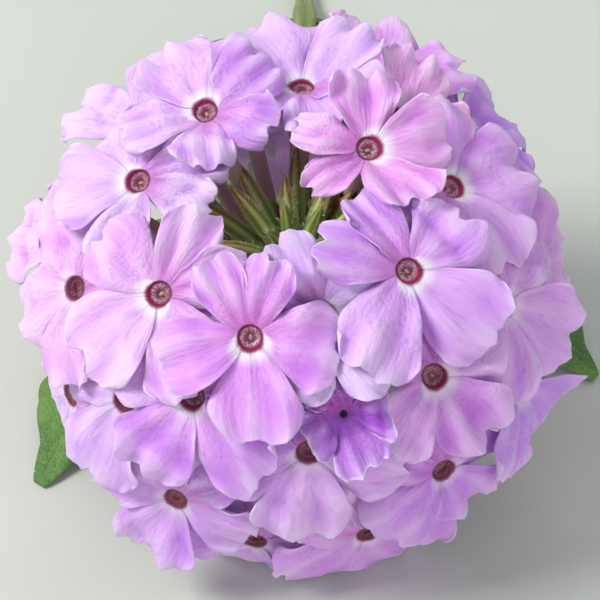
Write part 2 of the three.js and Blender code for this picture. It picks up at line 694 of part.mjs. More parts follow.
function leafGeometry(row) {
  const skin = new Skin();
  const rows = [[0, false], [0.14, false]];
  for (let i = 0; i < TEETH; i += 1) {
    rows.push([0.14 + (0.78 * (i + 0.55)) / TEETH, true], [0.14 + (0.78 * (i + 1)) / TEETH, false]);
  }
  rows.push([1, false]);
  const grid = rows.map(([along, tooth]) => LEAF_COLUMNS
    .map((across) => leafPoint(row, along, across, tooth)));
  const shift = (side) => grid.map((line) => line.map((p) => p.clone().setZ(p.z + (side * BLADE) / 2)));
  const top = shift(1);
  const bottom = shift(-1);
  const last = grid.length - 1;
  for (let i = 0; i < last; i += 1) {
    for (let j = 0; j < 4; j += 1) {
      skin.quad(top[i][j], top[i + 1][j], top[i + 1][j + 1], top[i][j + 1]);
      skin.quad(bottom[i][j + 1], bottom[i + 1][j + 1], bottom[i + 1][j], bottom[i][j]);
    }
  }
  addRim(skin, top, bottom);
  for (let j = 0; j < 4; j += 1) skin.quad(top[0][j + 1], bottom[0][j + 1], bottom[0][j], top[0][j]);
  return skin.geometry();
}

// ---- materials ----
const petal = (hex) => new THREE.MeshStandardMaterial({ color: hex, roughness: 0.6, metalness: 0 });
const PETAL_COLOURS = { pink: petal('#e2b3e6'), lilac: petal('#d3a6e6'), violet: petal('#b06ad0') };
const green = new THREE.MeshStandardMaterial({ color: '#6f8f3c', roughness: 0.65, metalness: 0 });
const stemGreen = new THREE.MeshStandardMaterial({ color: '#7c9a4e', roughness: 0.6, metalness: 0 });
const leafGreen = new THREE.MeshStandardMaterial({ color: '#4c7a35', roughness: 0.6, metalness: 0 });

// ---- assembly ----
const florets = FLORETS.map(placeFloret);
for (const floret of florets) floret.stalk = stalk(floret);
settle(florets);
florets.forEach(keepOffSeams);

const shoot = new THREE.Group();
const head = new THREE.Group();
head.rotation.x = HEAD_TILT * DEG;
head.position.z = HEAD_HEIGHT;
shoot.add(head);

const crown = crownSolid(florets, 0);
const crownMesh = new THREE.Mesh(geometryOf(crown), green);
crownMesh.name = 'crown';
head.add(crownMesh);

// Higher florets keep their whole form; a lower one gives way where a lobe or tube still meets it.
const taken = [crownSolid(florets, GAP)];
for (const floret of fromTheTop(florets)) {
  floret.solid = largestBody(corollaSolid(floret, 0).subtract(wasm.Manifold.union(taken)));
  taken.push(corollaSolid(floret, GAP));
}
for (const floret of florets) {
  const colour = floret.cup > CUPPED ? 'violet' : floret.index % 3 === 0 ? 'pink' : 'lilac';
  const mesh = new THREE.Mesh(geometryOf(floret.solid), PETAL_COLOURS[colour]);
  mesh.name = floret.name;
  head.add(mesh);
}

const stem = new THREE.Mesh(stemGeometry(), stemGreen);
stem.name = 'stem';
shoot.add(stem);

for (const row of LEAVES) {
  const leaf = new THREE.Mesh(leafGeometry(row), leafGreen);
  [leaf.name] = row;
  shoot.add(leaf);
}

const bounds = new THREE.Box3().setFromObject(shoot, true);
shoot.position.set(
  -(bounds.min.x + bounds.max.x) / 2,
  -(bounds.min.y + bounds.max.y) / 2,
  -bounds.min.z,
);

export default shoot;
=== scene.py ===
# %% [markdown]
# # A garden verbena
# A verbena head is a dome of separate florets. Each floret's corolla is one piece: a thin tube that opens
# into five notched lobes. The tubes stand in ribbed green calyces round a short flower axis, and the newest
# buds are still shut in the middle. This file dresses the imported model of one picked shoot. It repeats the
# model's sizes in millimetres, works each form out again on a finer grid, and gives every surface its
# colour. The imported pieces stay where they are, and the finer ones stand for them.

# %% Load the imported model
import bpy
import numpy as np
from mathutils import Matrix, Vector


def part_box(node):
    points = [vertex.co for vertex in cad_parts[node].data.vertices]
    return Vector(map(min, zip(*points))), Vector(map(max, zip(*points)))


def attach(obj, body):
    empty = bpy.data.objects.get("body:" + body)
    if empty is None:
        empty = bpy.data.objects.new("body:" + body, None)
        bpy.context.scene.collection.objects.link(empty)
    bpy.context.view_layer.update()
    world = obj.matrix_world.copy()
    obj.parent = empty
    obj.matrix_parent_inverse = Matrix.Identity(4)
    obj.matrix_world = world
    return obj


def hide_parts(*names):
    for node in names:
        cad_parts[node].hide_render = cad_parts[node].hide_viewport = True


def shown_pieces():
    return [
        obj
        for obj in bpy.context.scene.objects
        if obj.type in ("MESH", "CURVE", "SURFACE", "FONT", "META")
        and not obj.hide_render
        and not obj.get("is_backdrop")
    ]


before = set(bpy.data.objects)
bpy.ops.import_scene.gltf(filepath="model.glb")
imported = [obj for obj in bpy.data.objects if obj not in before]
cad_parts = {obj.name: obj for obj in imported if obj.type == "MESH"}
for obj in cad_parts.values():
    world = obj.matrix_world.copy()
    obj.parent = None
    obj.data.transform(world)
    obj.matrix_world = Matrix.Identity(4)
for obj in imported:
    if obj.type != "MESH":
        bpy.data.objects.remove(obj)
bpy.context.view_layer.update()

# %% [markdown]
# ## Sizes and axes
# The head is drawn in head axes: u to the right, v away from the front, w up along the flower axis, from
# the centre of the round head. It is then tilted and lifted, and the whole shoot is moved to where the
# packed one lies. The stem's box gives that move, because its lowest corner is known in the shoot's axes.

# %% Driving sizes, in millimetres and degrees
MM = 0.001
DEG = np.pi / 180
HEAD_SIDE = 27.0
HEAD_TOP = 23.0
HEAD_TILT = 17
HEAD_HEIGHT = 22.0
EYE = 1.35  # radius of the throat's mouth
REACH = 10.3  # throat centre to lobe tip on a full-size floret
HALF_WIDTH = 4.3
TUBE_RADIUS = 0.9
CALYX_LENGTH = 11.5
CALYX_RADIUS = 1.35
TOOTH = 1.7
AXIS_BOTTOM = -11.0
AXIS_TOP = 8.5
AXIS_RADIUS = 1.8
STEM_RADIUS = 1.35
NODE_RADIUS = 1.95
STEM_END = 108
FRONT_NODE = 40
BACK_NODE = 78
STEM_FLAT = 0.86
STEM_CORNER = 1.12
BLADE = 0.6  # thickness of a packed petal
GAP = 0.32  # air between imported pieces
STEM_LIFT = 0.02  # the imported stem's lowest point over what it lies on

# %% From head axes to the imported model's frame
tilt_sin = np.sin(HEAD_TILT * DEG)
tilt_cos = np.cos(HEAD_TILT * DEG)
HEAD_TURN = np.array([[1, 0, 0], [0, tilt_cos, -tilt_sin], [0, tilt_sin, tilt_cos]])
AXIS_DOWN = np.array([0, tilt_sin, -tilt_cos])
STEM_START = np.array([0, 0, HEAD_HEIGHT]) + AXIS_DOWN * (GAP - AXIS_BOTTOM)
flat_side = STEM_FLAT * STEM_RADIUS
stem_corner = np.array([-flat_side, STEM_START[1] - tilt_cos * flat_side, STEM_LIFT])
SHOOT_MOVE = np.array(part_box("stem")[0]) / MM - stem_corner
RIGHT, BACK, UP = np.eye(3)


def shoot_to_frame(points):
    """Points in the shoot's axes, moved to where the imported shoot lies. Still in millimetres."""
    return points + SHOOT_MOVE


def head_to_frame(points):
    """Points in head axes, tilted forward, lifted to the head's height and moved with the shoot."""
    return shoot_to_frame(points @ HEAD_TURN.T + HEAD_HEIGHT * UP)


print("shoot moved by", SHOOT_MOVE.round(3), "mm")

# %% [markdown]
# ## Camera
# The head is looked at from in front and above, at half a right angle, from arm's length through a long
# lens. A long lens keeps the round head from bulging towards the viewer. The lens is worked out from how
# many pixels one millimetre takes at the head's centre.

# %% Camera
PICTURE = 600  # pixels on each side
HEAD_CENTRE_PIXEL = (297, 303)
LOOK_DOWN = 46
CAMERA_DISTANCE = 210.0
PIXELS_PER_RADIAN = 1880
SENSOR = 36  # width in mm


def add_object(name, data):
    """Puts a mesh, a lamp or a camera into the scene."""
    holder = bpy.data.objects.new(name, data)
    bpy.context.scene.collection.objects.link(holder)
    return holder


def faced(way):
    """The turn that points a lamp or camera against `way`."""
    return Vector(way).to_track_quat("Z", "Y").to_euler()


look_sin = np.sin(LOOK_DOWN * DEG)
look_cos = np.cos(LOOK_DOWN * DEG)
towards_camera = np.array([0, -look_cos, look_sin])
picture_up = np.array([0, look_sin, look_cos])
head_centre = head_to_frame(np.zeros(3))
pixel_at_head = CAMERA_DISTANCE / PIXELS_PER_RADIAN
aim = head_centre + RIGHT * (PICTURE / 2 - HEAD_CENTRE_PIXEL[0]) * pixel_at_head
aim = aim + picture_up * (HEAD_CENTRE_PIXEL[1] - PICTURE / 2) * pixel_at_head
camera = add_object("camera", bpy.data.cameras.new("camera"))
camera.data.sensor_width = SENSOR
camera.data.lens = SENSOR * PIXELS_PER_RADIAN / PICTURE
camera.data.clip_start = 0.01
camera.location = Vector((aim + towards_camera * CAMERA_DISTANCE) * MM)
camera.rotation_euler = faced(towards_camera)
bpy.context.scene.camera = camera
print("lens", round(camera.data.lens, 1), "mm, head centre", head_centre.round(1))

# %% [markdown]
# ## From numbers to a mesh
# Every form below is worked out as arrays of points in millimetres. One function makes the mesh in metres,
# with its object left at the origin. Another lets it ride on the shoot and stores named values on its
# points for the finishes to read. Ready-made forms and modifiers could give some of the shapes, but an
# array follows a formula exactly and is quick. A closed tube is the commonest form: rings of points joined
# by four-sided faces, and a fan to a middle point at each end.

# %% A mesh from points and faces
def mesh_object(name, points, faces, finish):
    """A mesh from points in millimetres and lists of faces, in an object at the origin."""
    mesh = bpy.data.meshes.new(name)
    mesh.from_pydata((points * MM).tolist(), [], [face for part in faces for face in part.tolist()])
    mesh.materials.append(finish)
    return add_object(name, mesh)


def make_piece(name, points, faces, finish, stands_for=(), values=None):
    """A piece of the shoot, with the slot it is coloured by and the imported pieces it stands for."""
    piece = mesh_object(name, points, faces, finish)
    piece.data.shade_smooth()
    for label, numbers in (values or {}).items():
        attribute = piece.data.attributes.new(label, "FLOAT", "POINT")
        attribute.data.foreach_set("value", np.ascontiguousarray(numbers, dtype=np.float32).ravel())
    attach(piece, "root")
    if stands_for:
        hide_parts(*stands_for)


# %% Faces between rows, between rings and round a pole
def joined(corners, turned):
    """Faces from arrays that hold each corner's point numbers, the other way round if turned."""
    return np.stack(corners[::-1] if turned else corners, axis=-1)


def grid_faces(index, turned=False):
    """Four-sided faces between the rows and columns of a grid of point numbers."""
    corners = [index[:-1, :-1], index[1:, :-1], index[1:, 1:], index[:-1, 1:]]
    return joined(corners, turned).reshape(-1, 4)


def ring_faces(first, second, turned=False):
    """Four-sided faces between two rings of point numbers, closed all the way round."""
    return joined([first, np.roll(first, -1), np.roll(second, -1), second], turned)


def fan_faces(ring, pole, turned=False):
    """Triangles from a ring to a point in its middle."""
    return joined([ring, np.roll(ring, -1), np.full_like(ring, pole)], turned)


def tube_points(batch):
    """A batch of tubes (tubes, rings, points round, numbers) as one list of points. Each tube gets two
    end points, the middles of its first and last ring."""
    numbers = batch.shape[-1]
    ends = batch[:, [0, -1]].mean(axis=2)
    return np.concatenate([batch.reshape(len(batch), -1, numbers), ends], axis=1).reshape(-1, numbers)


def tube_faces(tubes, rings, around):
    """Faces of a batch of closed tubes whose rings run counter-clockwise about the way they go."""
    index = np.arange(rings * around).reshape(rings, around)
    sides = np.concatenate([ring_faces(a, b) for a, b in zip(index, index[1:])])
    first_cap = fan_faces(index[0], rings * around, turned=True)
    caps = np.concatenate([first_cap, fan_faces(index[-1], rings * around + 1)])
    step = np.arange(tubes).reshape(-1, 1, 1) * (rings * around + 2)
    return [(sides + step).reshape(-1, 4), (caps + step).reshape(-1, 3)]


# %% [markdown]
# ## Writing a finish
# A finish is a tree of shader nodes. Written out one by one, nodes hide what the finish does, so a small
# class adds them: each call places a node, feeds it and gives back its output. Colours are given as the
# eye reads them, 0 to 255, and turned into the linear light that Blender reckons with.

# %% Helpers for finishes
NUMBER = "NodeSocketFloat"
COLOUR = "NodeSocketColor"


def colour(red, green, blue):
    """Linear red, green and blue, and full cover. A dark share is divided by 12.92, and a lighter one is
    shifted a little and raised to the power 2.4."""
    share = np.array([red, green, blue]) / 255
    linear = np.where(share <= 0.04045, share / 12.92, ((share + 0.055) / 1.055) ** 2.4)
    return (*linear.tolist(), 1.0)


class Finish:
    """Adds nodes to one tree: a group's, or a material's around its one shader."""

    def __init__(self, tree, material=None):
        self.tree = tree
        self.material = material

    def feed(self, socket, value):
        """Gives a socket another node's output, a number, or a colour in the eye's numbers."""
        if isinstance(value, bpy.types.NodeSocket):
            self.tree.links.new(value, socket)
        else:
            socket.default_value = colour(*value) if socket.type == "RGBA" else value

    def node(self, kind, inputs, **settings):
        """A node of a kind, with its settings, and its inputs fed by name or number."""
        made = self.tree.nodes.new("ShaderNode" + kind)
        for name, value in settings.items():
            setattr(made, name, value)
        for key, value in inputs.items():
            self.feed(made.inputs[key], value)
        return made

    def stored(self, label):
        """A value that is stored on the mesh's points."""
        return self.node("Attribute", {}, attribute_name=label).outputs["Fac"]

    def sum_up(self, operation, *values):
        """One step of arithmetic on numbers or other nodes' outputs."""
        return self.node("Math", dict(enumerate(values)), operation=operation).outputs[0]

    def plus(self, first, second):
        """The first and the second added."""
        return self.sum_up("ADD", first, second)

    def times(self, first, *more):
        """All of them multiplied."""
        for value in more:
            first = self.sum_up("MULTIPLY", first, value)
        return first

    def ease(self, value, low, high, at_low=0.0, at_high=1.0):
        """at_low below low, at_high above high, and a soft step between them."""
        inputs = dict(enumerate((value, low, high, at_low, at_high)))
        return self.node("MapRange", inputs, interpolation_type="SMOOTHSTEP").outputs[0]

    def blend(self, share, first, second):
        """The first colour at share 0, the second at 1."""
        return self.node("Mix", {0: share, 6: first, 7: second}, data_type="RGBA").outputs[2]

    def layers(self, base, *over):
        """A colour with others laid over it in turn, each given as (share, colour)."""
        for share, tone in over:
            base = self.blend(share, base, tone)
        return base

    def noise(self, place, scale, detail):
        """Noise from 0 to 1 with lumps at `scale`, and finer ones on them `detail` times."""
        return self.node("TexNoise", {"Vector": place, "Scale": scale, "Detail": detail}).outputs["Fac"]

    def cloud(self, scale, detail=2.0, stretch=(1, 1, 1)):
        """Soft noise in object coordinates, `scale` lumps to the metre."""
        place = self.node("TexCoord", {}).outputs["Object"]
        mapping = self.node("Mapping", {"Vector": place, "Scale": stretch})
        return self.noise(mapping.outputs[0], scale, detail)

    def paint(self, base, height=None, distance=0.0, strength=1.0):
        """Feeds the material's shader its colour and a bump, `distance` mm high. Gives the material."""
        shader = self.tree.nodes["Principled BSDF"]
        self.feed(shader.inputs["Base Color"], base)
        if height:
            bump = self.node("Bump", {"Height": height, "Distance": distance * MM, "Strength": strength})
            self.feed(shader.inputs["Normal"], bump.outputs[0])
        return self.material


def new_group(name, inputs, outputs):
    """An empty node group with named sockets: its finish, its given values and the sockets it gives out."""
    tree = bpy.data.node_groups.new(name, "ShaderNodeTree")
    for way, sockets in (("INPUT", inputs), ("OUTPUT", outputs)):
        for label, kind in sockets:
            tree.interface.new_socket(name=label, in_out=way, socket_type=kind)
    return Finish(tree), tree.nodes.new("NodeGroupInput").outputs, tree.nodes.new("NodeGroupOutput").inputs


def new_finish(name, roughness, **constants):
    """A material with one Principled shader. Numbers that are the same all over go on its own sockets."""
    material = bpy.data.materials.new(name)
    material.use_nodes = True
    sockets = material.node_tree.nodes["Principled BSDF"].inputs
    sockets["Roughness"].default_value = roughness
    for label, value in constants.items():
        sockets[label.replace("_", " ")].default_value = value
    return Finish(material.node_tree, material)


# %% [markdown]
# ## Blotches, a group that calyces, stem, leaves and hairs share
# No living surface has one even colour. Patches a few millimetres wide are a little deeper, and specks
# much smaller than they are break them up. The group puts out a share from 0 to 1 for the colour and a
# height for the bump, and each material chooses the patch size and how much it takes of both.

# %% Blotches
SPECKS_IN_PATCH = 14.0


def blotches_group():
    """Share: patches of noise with a soft edge, plus the specks' distance from a half, times how much of
    them is asked for. Height: the specks."""
    inputs = [("Patches per metre", NUMBER), ("Specks", NUMBER)]
    f, given, made = new_group("blotches", inputs, [("Share", NUMBER), ("Height", NUMBER)])
    specks = f.cloud(f.times(given[0], SPECKS_IN_PATCH))
    grain = f.times(f.sum_up("SUBTRACT", specks, 0.5), given[1])
    f.feed(made["Share"], f.plus(f.ease(f.cloud(given[0]), 0.35, 0.68), grain))
    f.feed(made["Height"], specks)
    return f.tree


BLOTCHES = blotches_group()


def blotches(f, patches_per_metre, specks):
    """Places the group in a material and gives its share and height."""
    return f.node("Group", {0: patches_per_metre, 1: specks}, node_tree=BLOTCHES).outputs


print("shared group:", BLOTCHES.name)

# %% [markdown]
# ## Where the florets stand
# Each row below is one floret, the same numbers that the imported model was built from: its bearing and
# polar angle on the head, how far its face turns to the light, its turn about its own axis, its size, the
# upward cup of its lobes and its level over the head's round form. From them come its centre, the way it
# faces, and two directions in its face: outward on the head, and sideways.

# %% The florets
FLORETS = np.array([
    (42, 21, 0.70, -27, 0.80, 2, 0.6), (-33, 28, 0.62, -6, 1.00, -2, 1.2),
    (-108, 32, 0.60, 23, 0.86, 0, 1.0), (-148, 36, 0.58, 6, 0.97, 0, 0.6),
    (162, 40, 0.55, 19, 0.90, 0, 0.0), (127, 35, 0.60, -5, 0.86, 0, 0.8),
    (15, 38, 0.30, 10, 1.00, 8, 0.0), (-78, 26, 0.20, 40, 0.90, 24, -1.0),
    (88, 38, 0.25, 36, 1.00, 18, 0.0), (51, 42, 0.50, 20, 0.84, 8, -0.8),
    (-120, 50, 0.40, -8, 0.96, 0, 0.2), (-77, 49, 0.30, 10, 0.60, 48, 0.6),
    (-49, 50, 0.55, 3, 0.86, 0, 0.4), (-87, 57, 0.00, -5, 1.08, 8, 0.6),
    (-17, 56, 0.40, 0, 0.98, 0, 0.0), (-170, 60, 0.40, 0, 0.96, 0, 0.2),
    (-137, 63, 0.30, 10, 0.96, 0, 0.0), (42, 66, 0.45, 0, 1.00, 6, 0.4),
    (70, 64, 0.42, 14, 1.05, 14, 0.2), (106, 64, 0.42, 0, 1.05, 14, 0.0),
    (135, 64, 0.45, 20, 0.96, 8, 0.2), (8, 84, 0.40, 0, 0.94, 0, 0.4),
    (-27, 80, 0.30, 0, 0.94, 0, 0.4), (-55, 79, 0.25, 14, 0.96, 0, 0.0),
    (-73, 104, 0.35, 0, 1.04, 0, 0.0), (-100, 106, 0.35, 0, 1.04, 0, 0.0),
    (-118, 86, 0.30, 0, 0.94, 0, 0.0), (167, 84, 0.40, 0, 0.94, 0, 0.6),
    (-157, 94, 0.30, 0, 0.92, 0, 0.0), (90, 100, 0.20, 0, 1.00, 0, 0.0),
    (62, 100, 0.20, 0, 1.00, 0, 0.0), (118, 100, 0.20, 0, 1.00, 0, 0.0),
    (34, 98, 0.20, 0, 0.94, 0, 0.0), (146, 98, 0.20, 0, 0.94, 0, 0.0),
])
BEARING, POLAR, TO_LIGHT, TURN, SIZE, CUP, LEVEL = FLORETS.T
COUNT = len(FLORETS)


def unit(vectors):
    """Vectors divided by their own lengths."""
    return vectors / np.linalg.norm(vectors, axis=-1, keepdims=True)


def direction(bearing, polar):
    """The unit vector at a bearing round the flower axis and a polar angle from it, both in degrees."""
    bearing, polar = np.broadcast_arrays(np.asarray(bearing) * DEG, np.asarray(polar) * DEG)
    flat = np.sin(polar)
    return np.stack([flat * np.cos(bearing), flat * np.sin(bearing), np.cos(polar)], axis=-1)


def circle(count):
    """Evenly spaced angles round a circle, in radians."""
    return np.arange(count) * 2 * np.pi / count


def spokes(angles, first, second):
    """Directions at angles from `first` towards `second`, for one such pair or for a list of them."""
    return np.cos(angles)[:, None] * first[..., None, :] + np.sin(angles)[:, None] * second[..., None, :]


def vary(first, second, channel):
    """A repeatable number from -1 to 1: the broken part of a large sine."""
    value = np.sin(first * 12.9898 + second * 78.233 + channel * 37.719) * 43758.5453
    return (value - np.floor(value)) * 2 - 1


# %% Their centres and axes
LIGHT = direction(-90, 27)
radii = np.stack([HEAD_SIDE + LEVEL, HEAD_SIDE + LEVEL, HEAD_TOP + LEVEL], axis=-1)
CENTRE = direction(BEARING, POLAR) * radii
FACE = unit((1 - TO_LIGHT)[:, None] * direction(BEARING, POLAR) + TO_LIGHT[:, None] * LIGHT)
flat_out = direction(BEARING, 90)
flat_out = unit(flat_out - (flat_out * FACE).sum(axis=-1, keepdims=True) * FACE)
turned_cos = np.cos(TURN * DEG)[:, None]
turned_sin = np.sin(TURN * DEG)[:, None]
OUTWARD = flat_out * turned_cos + np.cross(FACE, flat_out) * turned_sin
SIDE = np.cross(FACE, OUTWARD)
print(COUNT, "florets, the lowest faces", FACE[:, 2].min().round(2), "up the axis")

# %% [markdown]
# ## One lobe as a formula
# A lobe is a surface with two parameters: `along` runs from the throat's ring to the tip, `across` from one
# margin to the other. In the plane of the floret it widens from its piece of the ring and ends in a round,
# notched tip. Its height over that plane rises at an angle, curls back and dips at the margins. The same
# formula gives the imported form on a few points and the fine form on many. Only the fine form adds what a
# thin petal does by itself: a crease along the midrib, pleats, a ruffled rim and a buckle across it. One
# petal could be sculpted by hand, but a hundred and seventy need a rule that draws each a bit differently.

# %% Numbers of a lobe
LOBE_AIM = np.array([0, 80, 157, 203, 280])  # 0 points outward on the head
LOBE_SEAM = np.array([-40, 40, 120, 180, 240, 320])  # where neighbours meet on the ring
LOBE_LENGTH = np.array([1.06, 1.0, 0.97, 0.97, 1.0])
LOBE_BREADTH = np.array([1.12, 1.0, 0.72, 0.72, 1.0])
INNER_LOBE = np.array([0, 0, 1, 1, 0])
SLIT = 1.5  # degrees that a packed lobe stays clear of the middle between it and the next
LAP = 8  # degrees that a fine lobe reaches past it, with one margin over and one under its neighbours
FINE_BREADTH = 1.09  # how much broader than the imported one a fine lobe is
FULL_AT = 0.75  # share of its length at which a lobe reaches its full width
CUPPED = 25  # a floret with more cup than this is half open
NUMBER_OF = np.arange(COUNT).reshape(-1, 1, 1, 1)
LOBE_OF = np.arange(5).reshape(1, -1, 1, 1)


def own(channel):
    """One repeatable number for each lobe of each floret."""
    return vary(NUMBER_OF, LOBE_OF, channel)


def by_floret(numbers):
    """One number for each floret, in a shape that spreads over lobes and points."""
    return numbers.reshape(-1, 1, 1, 1)


def by_lobe(numbers):
    """One number for each of five lobes, in a shape that spreads over florets and points."""
    return numbers.reshape(1, -1, 1, 1)


def folds(s, t):
    """Height of a petal's broad folds, in mm. The crease is a rounded V along the midrib that deepens from
    the throat, most of all on the two narrow inner lobes. The twist tips the lobe about its midrib. The
    buckle bends what lies past a line down. The roll lifts or drops the margins with the fourth power of
    the distance from the midrib."""
    inner = by_lobe(INNER_LOBE)
    fold = 0.5 + 1.2 * own(11) + 1.2 * np.maximum(0, own(28)) ** 2 + inner * (0.8 + 1.0 * own(36))
    crease = fold * (np.sqrt((t - 0.2 * own(12)) ** 2 + 0.02) - 0.14) * s ** 0.8
    twist = 1.3 * own(29) * t * s ** 1.5
    past = s - 0.6 - 0.12 * own(17) - 0.2 * t * own(18)
    buckle = -(1.1 + 1.6 * own(19)) * 0.5 * (past + np.sqrt(past ** 2 + 0.004))
    roll = (0.9 * own(20) + 0.8 * own(37) * np.sign(t)) * np.abs(t) ** 4 * s
    return crease + twist + buckle + roll


def crumples(s, t):
    """Height of a petal's small folds, in mm. Pleats are waves across the lobe. The ruffle is a wave along
    the tip's margin, the frill a finer one, and the side wave runs along the two long margins. Creases
    are the rounded ridges of a slanting sine."""
    pleats = 0.2 * np.cos(2 * np.pi * (1.2 * t + 0.4 * s * own(27) + own(13))) * np.sin(np.pi * s ** 0.8)
    ruffle = (0.56 + 0.28 * own(14)) * s ** 3 * np.sin(np.pi * (2.4 + own(15)) * t + 4 * own(16))
    frill = 0.15 * s ** 5 * np.sin(np.pi * (7 + 2 * own(30)) * t + 3 * own(31))
    side = 0.45 * t ** 4 * np.sin((8 + 2 * own(38)) * s + 3 * own(39) + 1.5 * np.sign(t))
    side = side * np.minimum(1, 2 * s)
    slant = np.pi * own(33)
    wave = np.sin(5.7 * s * np.cos(slant) + 2.7 * t * np.sin(slant) + 3 * own(34))
    creases = 0.75 * own(35) * (np.sqrt(wave ** 2 + 0.03) - 0.65) * np.minimum(1, 2 * s)
    return pleats + ruffle + frill + side + creases


# %% Points of the lobes
def lobe_points(along, across, fine):
    """Points of every lobe of every floret, (florets, 5, along, across, 3), in head axes.
    x runs along the lobe and y across it. x goes from the ring to the tip, short by the notch and the
    round corners. y is the ring's own width at first, then the lobe's width times a rising sine, kept on
    its side of the slit to each neighbour. z is the run times the tangent of an angle that falls along
    the lobe, less a dip at the margins, plus a wave. Fine lobes add their folds, and lap over each other:
    one margin is a little raised and the other lowered."""
    s = along.reshape(1, 1, -1, 1)
    t = across.reshape(1, 1, 1, -1)
    size = by_floret(SIZE)
    length = REACH * size * by_lobe(LOBE_LENGTH) * (1 + 0.06 * own(1)) - EYE
    half = HALF_WIDTH * size * by_lobe(LOBE_BREADTH) * (1 + 0.08 * own(2))
    seam_half = by_lobe(LOBE_SEAM[1:] - LOBE_SEAM[:-1]) / 2
    seam_middle = by_lobe((LOBE_SEAM[1:] + LOBE_SEAM[:-1]) / 2 - LOBE_AIM)
    ring = (seam_middle + seam_half * t) * DEG
    short = 0.085 * np.exp(-((t / 0.26) ** 2)) + 0.24 * np.abs(t) ** 2.4
    if fine:
        half = half * FINE_BREADTH
        short = 0.10 * (1 + 0.6 * own(21)) * np.exp(-(((t - 0.2 * own(22)) / 0.19) ** 2))
        short = short + 0.28 * (1 - np.sqrt(1 - 0.999 * np.abs(t) ** 3))
        waves = np.sin(7 * t + 3 * own(23)) + 0.6 * np.sin(16 * t + 3 * own(24))
        short = short + 0.024 * waves * (1 - t ** 4)
    x = EYE * np.cos(ring) * (1 - s) + s * (EYE + length * (1 - short * s ** 2.2))
    grow = np.sin(np.pi / 2 * np.minimum(1, s / FULL_AT)) ** 0.8
    taper = 1 - 0.10 * np.clip((s - 0.8) / 0.2, 0, 1) ** 2
    y = EYE * np.sin(ring) * (1 - grow) + t * half * grow * taper
    if fine:
        wobble = np.sin(6 * s + 3 * own(25) + 2 * t) + 0.3 * np.sin(15 * s + 3 * own(26) + 3 * t)
        y = y * (1 + 0.05 * wobble * s)

    rise = (8 + by_floret(CUP) + 7 * own(3)) * DEG
    curl = (26 + 16 * own(4)) * DEG
    slope = rise - 0.5 * curl * s
    run = x - EYE
    past = np.minimum(1, s * 4)
    cupped = by_floret(CUP) > CUPPED
    z = np.where(cupped, run * np.sin(slope) * past, run * np.tan(slope) * np.minimum(1, s * 3))
    x = np.where(cupped, x + (EYE + run * np.cos(slope) - x) * past, x)
    to_next = by_lobe((np.roll(LOBE_AIM, -1) - LOBE_AIM) % 360)
    to_last = by_lobe((LOBE_AIM - np.roll(LOBE_AIM, 1)) % 360)
    spare = np.where(t > 0, to_next, to_last) / 2 + (LAP if fine else -SLIT)
    near_ring = np.clip(s * 4, 0, 1)
    widest = 99 * (1 - near_ring) + x * np.tan(spare * DEG) * near_ring
    y = y / (1 + np.abs(y / widest) ** 10) ** 0.1 if fine else np.clip(y, -widest, widest)

    z = z + 0.9 * s ** 1.5 * (0.5 * own(5) * t - 0.55 * t * t)
    z = z + 0.35 * s ** 2 * np.sin(1.82 * np.pi * t + 3 * own(6))
    if fine:
        z = z + folds(s, t) + crumples(s, t) + 0.32 * t * np.abs(t) ** 3 * np.minimum(1, 5 * s)
    turn = (by_lobe(LOBE_AIM) + 2 * own(7) * s) * DEG
    ahead = (x * np.cos(turn) - y * np.sin(turn))[..., None]
    aside = (x * np.sin(turn) + y * np.cos(turn))[..., None]
    centre, outward, side, face = (part[:, None, None, None] for part in (CENTRE, OUTWARD, SIDE, FACE))
    return centre + ahead * outward + aside * side + z[..., None] * face


print("a lobe is", round(REACH - EYE, 2), "mm long and", 2 * HALF_WIDTH, "mm wide at most")

# %% [markdown]
# ## Letting the lobes lie on each other
# Thirty-four florets crowd on one dome, so their lobes overlap like tiles. If each lobe kept its own
# shape, they would pass through each other. So they are settled, as cloth is in a simulation, but with a
# known order: the floret nearer the top lies over its neighbours. In each round, two points that come too
# close are pushed apart along the head's radius, and each lobe then evens out its own moves and keeps its
# ring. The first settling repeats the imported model's, on its few points. The second is finer.

# %% Pairs of points that may touch
depth = POLAR - 6 * LEVEL
RANK = np.empty(COUNT)
RANK[np.argsort(depth, kind="stable")] = -np.arange(COUNT)
FLOOR_UP = np.array([0, tilt_sin, tilt_cos])
CLEAR = BLADE / 2 + 0.02  # from a lobe's middle to the floor, or to the planes through its seams


def close_pairs(points, near):
    """Pairs of points of different florets within `near`, as (upper one, lower one). Squared distances
    come from the two squared lengths less twice the dot product, for one floret at a time."""
    each = len(points) // COUNT
    squared = (points ** 2).sum(axis=1)
    uppers, lowers = [], []
    for i in range(COUNT - 1):
        mine = slice(i * each, (i + 1) * each)
        rest = slice((i + 1) * each, None)
        apart = squared[mine, None] + squared[None, rest] - 2 * points[mine] @ points[rest].T
        a, b = np.nonzero(apart < near ** 2)
        a = a + i * each
        b = b + (i + 1) * each
        first_on_top = RANK[a // each] > RANK[b // each]
        uppers.append(np.where(first_on_top, a, b))
        lowers.append(np.where(first_on_top, b, a))
    return np.concatenate(uppers), np.concatenate(lowers)


# %% Settling
def even_out(moves):
    """Each point keeps 0.7 of its move and takes 0.3 of its four neighbours' in the lobe. The ring stays."""
    wide = np.pad(moves, ((0, 0), (0, 0), (1, 1), (1, 1), (0, 0)), mode="edge")
    around = wide[:, :, :-2, 1:-1] + wide[:, :, 2:, 1:-1] + wide[:, :, 1:-1, :-2] + wide[:, :, 1:-1, 2:]
    moves = 0.7 * moves + 0.3 / 4 * around
    moves[:, :, 0] = 0
    return moves


